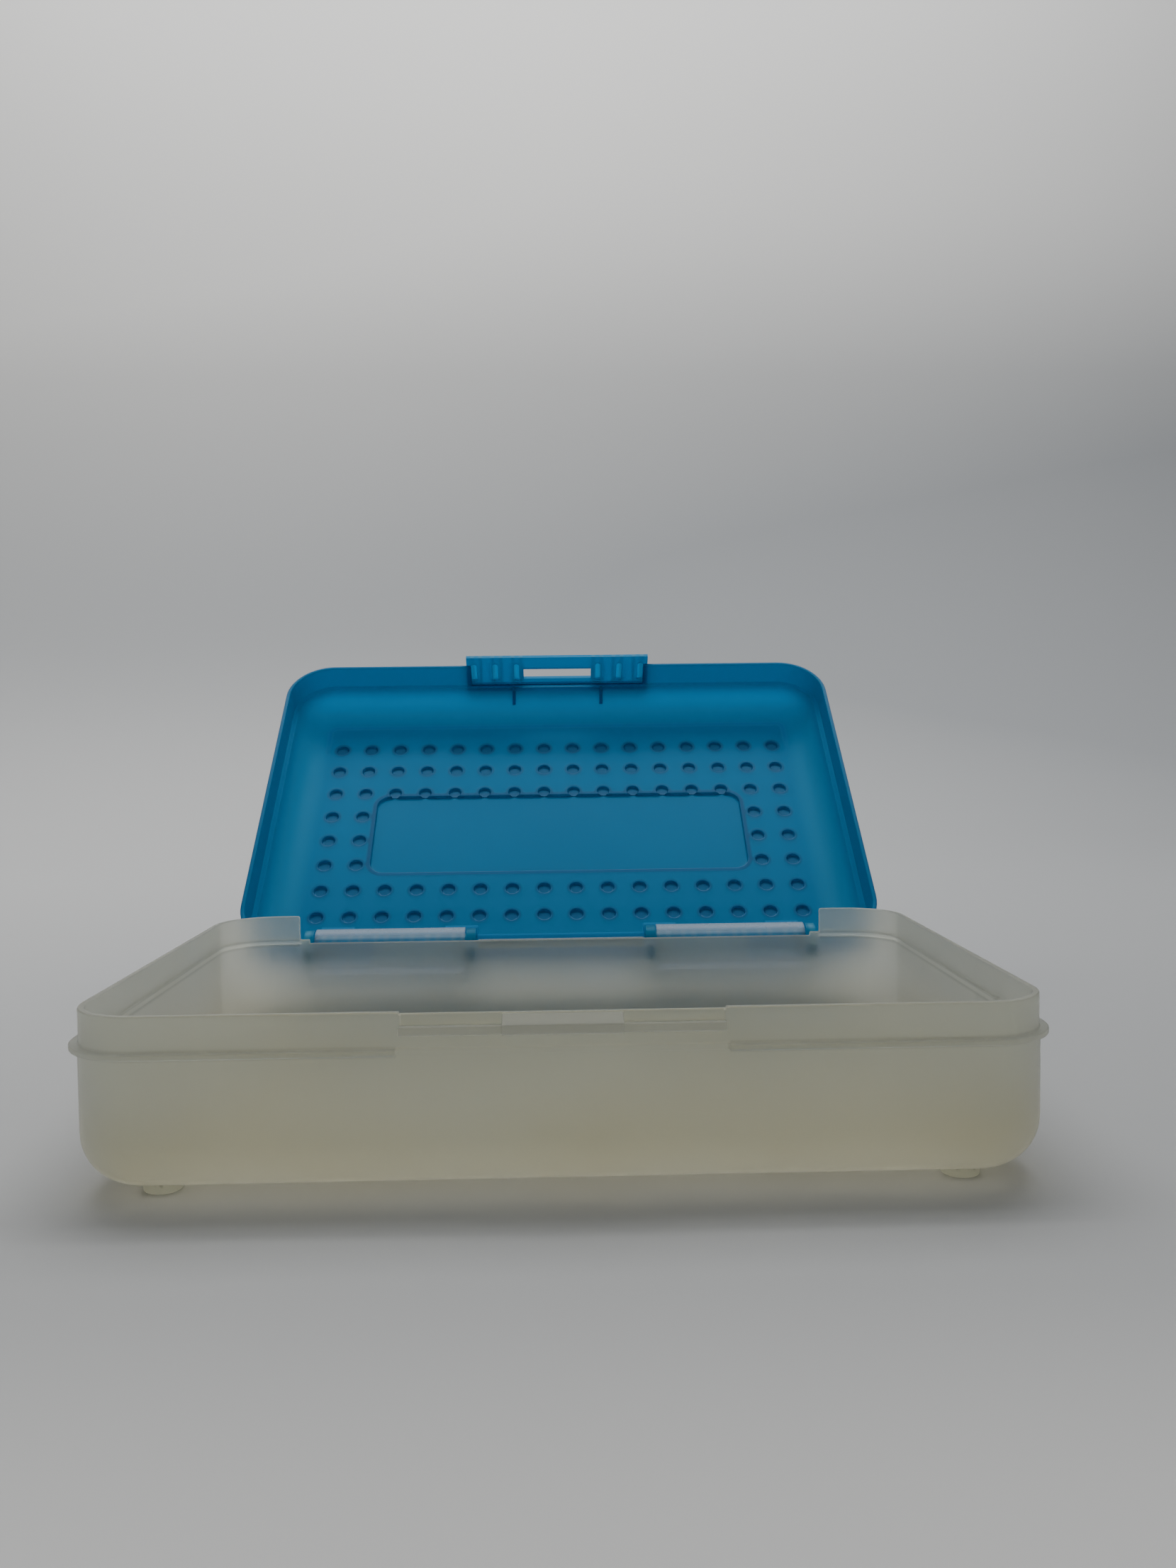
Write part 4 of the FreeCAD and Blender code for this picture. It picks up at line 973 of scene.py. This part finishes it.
class CaseLooks(bpy.types.PropertyGroup):
    """The colours and finish of the case's plastics."""

    frosted_colour: FloatVectorProperty(
        name="Frosted",
        description="Colour of the clean frosted plastic",
        default=(0.86, 0.87, 0.79),
        **COLOUR,
    )
    aged_colour: FloatVectorProperty(
        name="Aged",
        description="Colour the frosted plastic turns to near its underside",
        default=(0.84, 0.78, 0.56),
        **COLOUR,
    )
    clear_colour: FloatVectorProperty(
        name="Clear",
        description="Colour of the polished feet and barrels",
        default=(0.62, 0.68, 0.74),
        **COLOUR,
    )
    blue_colour: FloatVectorProperty(
        name="Blue",
        description="Main colour of the lid",
        default=(0.004, 0.35, 0.62),
        **COLOUR,
    )
    deep_colour: FloatVectorProperty(
        name="Deep blue",
        description="Colour of the studs and of the panel border",
        default=(0.0005, 0.09, 0.26),
        **COLOUR,
    )
    pale_colour: FloatVectorProperty(
        name="Pale blue",
        description="Colour of the lid walls where more light comes through",
        default=(0.12, 0.62, 0.78),
        **COLOUR,
    )
    glow_colour: FloatVectorProperty(
        name="Glow",
        description="Colour of light scattered inside the lid",
        default=(0.015, 0.45, 0.72),
        **COLOUR,
    )
    frost: FloatProperty(
        name="Frost",
        description="Roughness of the frosted plastic",
        default=0.33,
        **ROUGHNESS,
    )
    milk: FloatProperty(
        name="Milk",
        description="Share of light the frosted plastic scatters",
        default=0.16,
        **SHARE,
    )
    blue_rough: FloatProperty(
        name="Lid roughness",
        description="Roughness of the lid",
        default=0.36,
        **ROUGHNESS,
    )
    lug_cover: FloatProperty(
        name="Lug cover",
        description="How much of the solid frosted catch and rail is seen",
        default=0.32,
        **SHARE,
    )
    clear_cover: FloatProperty(
        name="Clear cover",
        description="How much of the polished plastic is seen",
        default=0.30,
        **SHARE,
    )


class CaseShape(bpy.types.PropertyGroup):
    """Small sizes of the moulding that the frame leaves open."""

    stud_radius: FloatProperty(
        name="Stud radius",
        description="Radius of a lid stud outside",
        default=0.0032,
        **FINE_SIZE,
    )
    stud_wall: FloatProperty(
        name="Stud wall",
        description="How much smaller a stud is inside",
        default=0.0009,
        **FINE_SIZE,
    )
    edge_round: FloatProperty(
        name="Edge rounding",
        description="Rounding on the tab, ears, pins and barrels",
        default=0.0002,
        **FINE_SIZE,
    )
    foot_round: FloatProperty(
        name="Foot rounding",
        description="Rounding on the lower edge of the feet",
        default=0.00045,
        **FINE_SIZE,
    )


class CaseStage(bpy.types.PropertyGroup):
    """The floor, lights and camera."""

    floor_colour: FloatVectorProperty(
        name="Floor",
        description="Colour of the floor and the upper background",
        default=(0.66, 0.655, 0.64),
        **COLOUR,
    )
    shade_colour: FloatVectorProperty(
        name="Floor shade",
        description="Colour of the floor where it falls off towards the horizon",
        default=(0.30, 0.31, 0.32),
        **COLOUR,
    )
    key_power: FloatProperty(
        name="Overhead light",
        description="Power of the overhead lamp",
        default=11.0,
        **WATTS,
    )
    wash_power: FloatProperty(
        name="Background light",
        description="Power of the lamp on the background",
        default=10.0,
        **WATTS,
    )
    front_light: FloatProperty(
        name="Light from the front",
        description="Strength of the surrounding light in front",
        default=0.19,
        **STRENGTH,
    )
    back_light: FloatProperty(
        name="Light from behind",
        description="Strength of the surrounding light behind",
        default=0.42,
        **STRENGTH,
    )
    lens: FloatProperty(
        name="Lens",
        description="Focal length of the camera",
        default=28.95,
        unit="CAMERA",
        min=10.0,
        max=200.0,
    )
    camera_place: FloatVectorProperty(
        name="Camera place",
        description="Where the camera stands",
        default=(-0.0005, -0.3321, 0.1004),
        size=3,
        unit="LENGTH",
        subtype="TRANSLATION",
    )


class CASE_OT_tray(bpy.types.Operator):
    """Builds the frosted tray with its flange and collar."""

    bl_idname = "case.build_tray"
    bl_label = "Build Tray"
    bl_options = {"REGISTER", "UNDO"}

    def execute(self, context):
        build_tray()
        return {"FINISHED"}


class CASE_OT_catch(bpy.types.Operator):
    """Builds the ledge and the snap nose on the collar."""

    bl_idname = "case.build_catch"
    bl_label = "Build Front Catch"
    bl_options = {"REGISTER", "UNDO"}

    def execute(self, context):
        build_catch()
        return {"FINISHED"}


class CASE_OT_rail(bpy.types.Operator):
    """Builds the rail along the tray's rear rim."""

    bl_idname = "case.build_rail"
    bl_label = "Build Rear Rail"
    bl_options = {"REGISTER", "UNDO"}

    def execute(self, context):
        rounding = context.scene.case_shape.edge_round
        soften("rear_rail", "tray_rear_rail", "frosted_lugs", "base", rounding)
        return {"FINISHED"}


class CASE_OT_feet(bpy.types.Operator):
    """Builds the four round feet."""

    bl_idname = "case.build_feet"
    bl_label = "Build Feet"
    bl_options = {"REGISTER", "UNDO"}

    def execute(self, context):
        for name in nodes_like("foot"):
            build_foot(name, context.scene.case_shape.foot_round / MM)
        return {"FINISHED"}


class CASE_OT_barrels(bpy.types.Operator):
    """Builds the tray's open hinge barrels."""

    bl_idname = "case.build_barrels"
    bl_label = "Build Hinge Barrels"
    bl_options = {"REGISTER", "UNDO"}

    def execute(self, context):
        for name in nodes_like("hinge_barrel"):
            rounding = context.scene.case_shape.edge_round
            soften(name, "snap_" + name, "clear_plastic", "base", rounding)
        return {"FINISHED"}


class CASE_OT_lid(bpy.types.Operator):
    """Builds the blue lid with its studs, panel, ribs and rear rim."""

    bl_idname = "case.build_lid"
    bl_label = "Build Lid"
    bl_options = {"REGISTER", "UNDO"}

    def execute(self, context):
        shell = build_lid(context.scene.case_shape)
        add_lid_fittings(shell)
        make_piece("lid", shell, "blue_plastic", "lid", ["lid_shell"], opened=True)
        return {"FINISHED"}


class CASE_OT_pins(bpy.types.Operator):
    """Builds the lid's ears and the pins they carry."""

    bl_idname = "case.build_pins"
    bl_label = "Build Ears and Pins"
    bl_options = {"REGISTER", "UNDO"}

    def execute(self, context):
        for name in nodes_like("hinge_ear") + nodes_like("hinge_pin"):
            soften(name, "lid_" + name, "blue_plastic", "lid", context.scene.case_shape.edge_round)
        return {"FINISHED"}


class CASE_OT_tab(bpy.types.Operator):
    """Builds the springy tab on the lid's front edge."""

    bl_idname = "case.build_tab"
    bl_label = "Build Snap Tab"
    bl_options = {"REGISTER", "UNDO"}

    def execute(self, context):
        rounding = context.scene.case_shape.edge_round
        soften("latch_tab", "snap_tab", "blue_plastic", "tab", rounding)
        return {"FINISHED"}


class CASE_OT_stage(bpy.types.Operator):
    """Adds the floor, the lights and the camera."""

    bl_idname = "case.build_stage"
    bl_label = "Build Stage"
    bl_options = {"REGISTER", "UNDO"}

    def execute(self, context):
        stage = context.scene.case_stage
        add_floor(stage)
        add_light("overhead", (0.0, 0.50, 1.15), (0.0, 0.08, 0.0), (1.3, 0.7), stage.key_power)
        add_light("background_wash", (0.0, 0.45, 1.25), (0.0, 0.95, 0.80), (2.0, 0.3), stage.wash_power)
        add_world(stage)
        add_camera(stage)
        return {"FINISHED"}


class CASE_PT_panel(bpy.types.Panel):
    """Lists the pieces of the case and the values that shape them."""

    bl_idname = "CASE_PT_panel"
    bl_label = "Storage Case"
    bl_space_type = "VIEW_3D"
    bl_region_type = "UI"
    bl_category = "Case"

    def draw(self, context):
        layout = self.layout
        for group in (context.scene.case_looks, context.scene.case_shape, context.scene.case_stage):
            column = layout.column(align=True)
            for name in type(group).__annotations__:
                column.prop(group, name)
        column = layout.column(align=True)
        for operator in OPERATORS:
            column.operator(operator.bl_idname)


GROUPS = {"case_looks": CaseLooks, "case_shape": CaseShape, "case_stage": CaseStage}
OPERATORS = (
    CASE_OT_tray,
    CASE_OT_catch,
    CASE_OT_rail,
    CASE_OT_feet,
    CASE_OT_barrels,
    CASE_OT_lid,
    CASE_OT_pins,
    CASE_OT_tab,
    CASE_OT_stage,
)
CLASSES = (*GROUPS.values(), *OPERATORS, CASE_PT_panel)


def register():
    """Registers the classes and gives the scene its three groups of values."""
    for item in CLASSES:
        bpy.utils.register_class(item)
    for name, group in GROUPS.items():
        setattr(bpy.types.Scene, name, PointerProperty(type=group))


def unregister():
    """Takes away what register added."""
    for name in GROUPS:
        delattr(bpy.types.Scene, name)
    for item in reversed(CLASSES):
        bpy.utils.unregister_class(item)


def main():
    """Builds every piece and the stage."""
    register()
    bpy.ops.case.build_tray()
    bpy.ops.case.build_catch()
    bpy.ops.case.build_rail()
    bpy.ops.case.build_feet()
    bpy.ops.case.build_barrels()
    bpy.ops.case.build_lid()
    bpy.ops.case.build_pins()
    bpy.ops.case.build_tab()
    bpy.ops.case.build_stage()


if __name__ == "__main__":
    main()
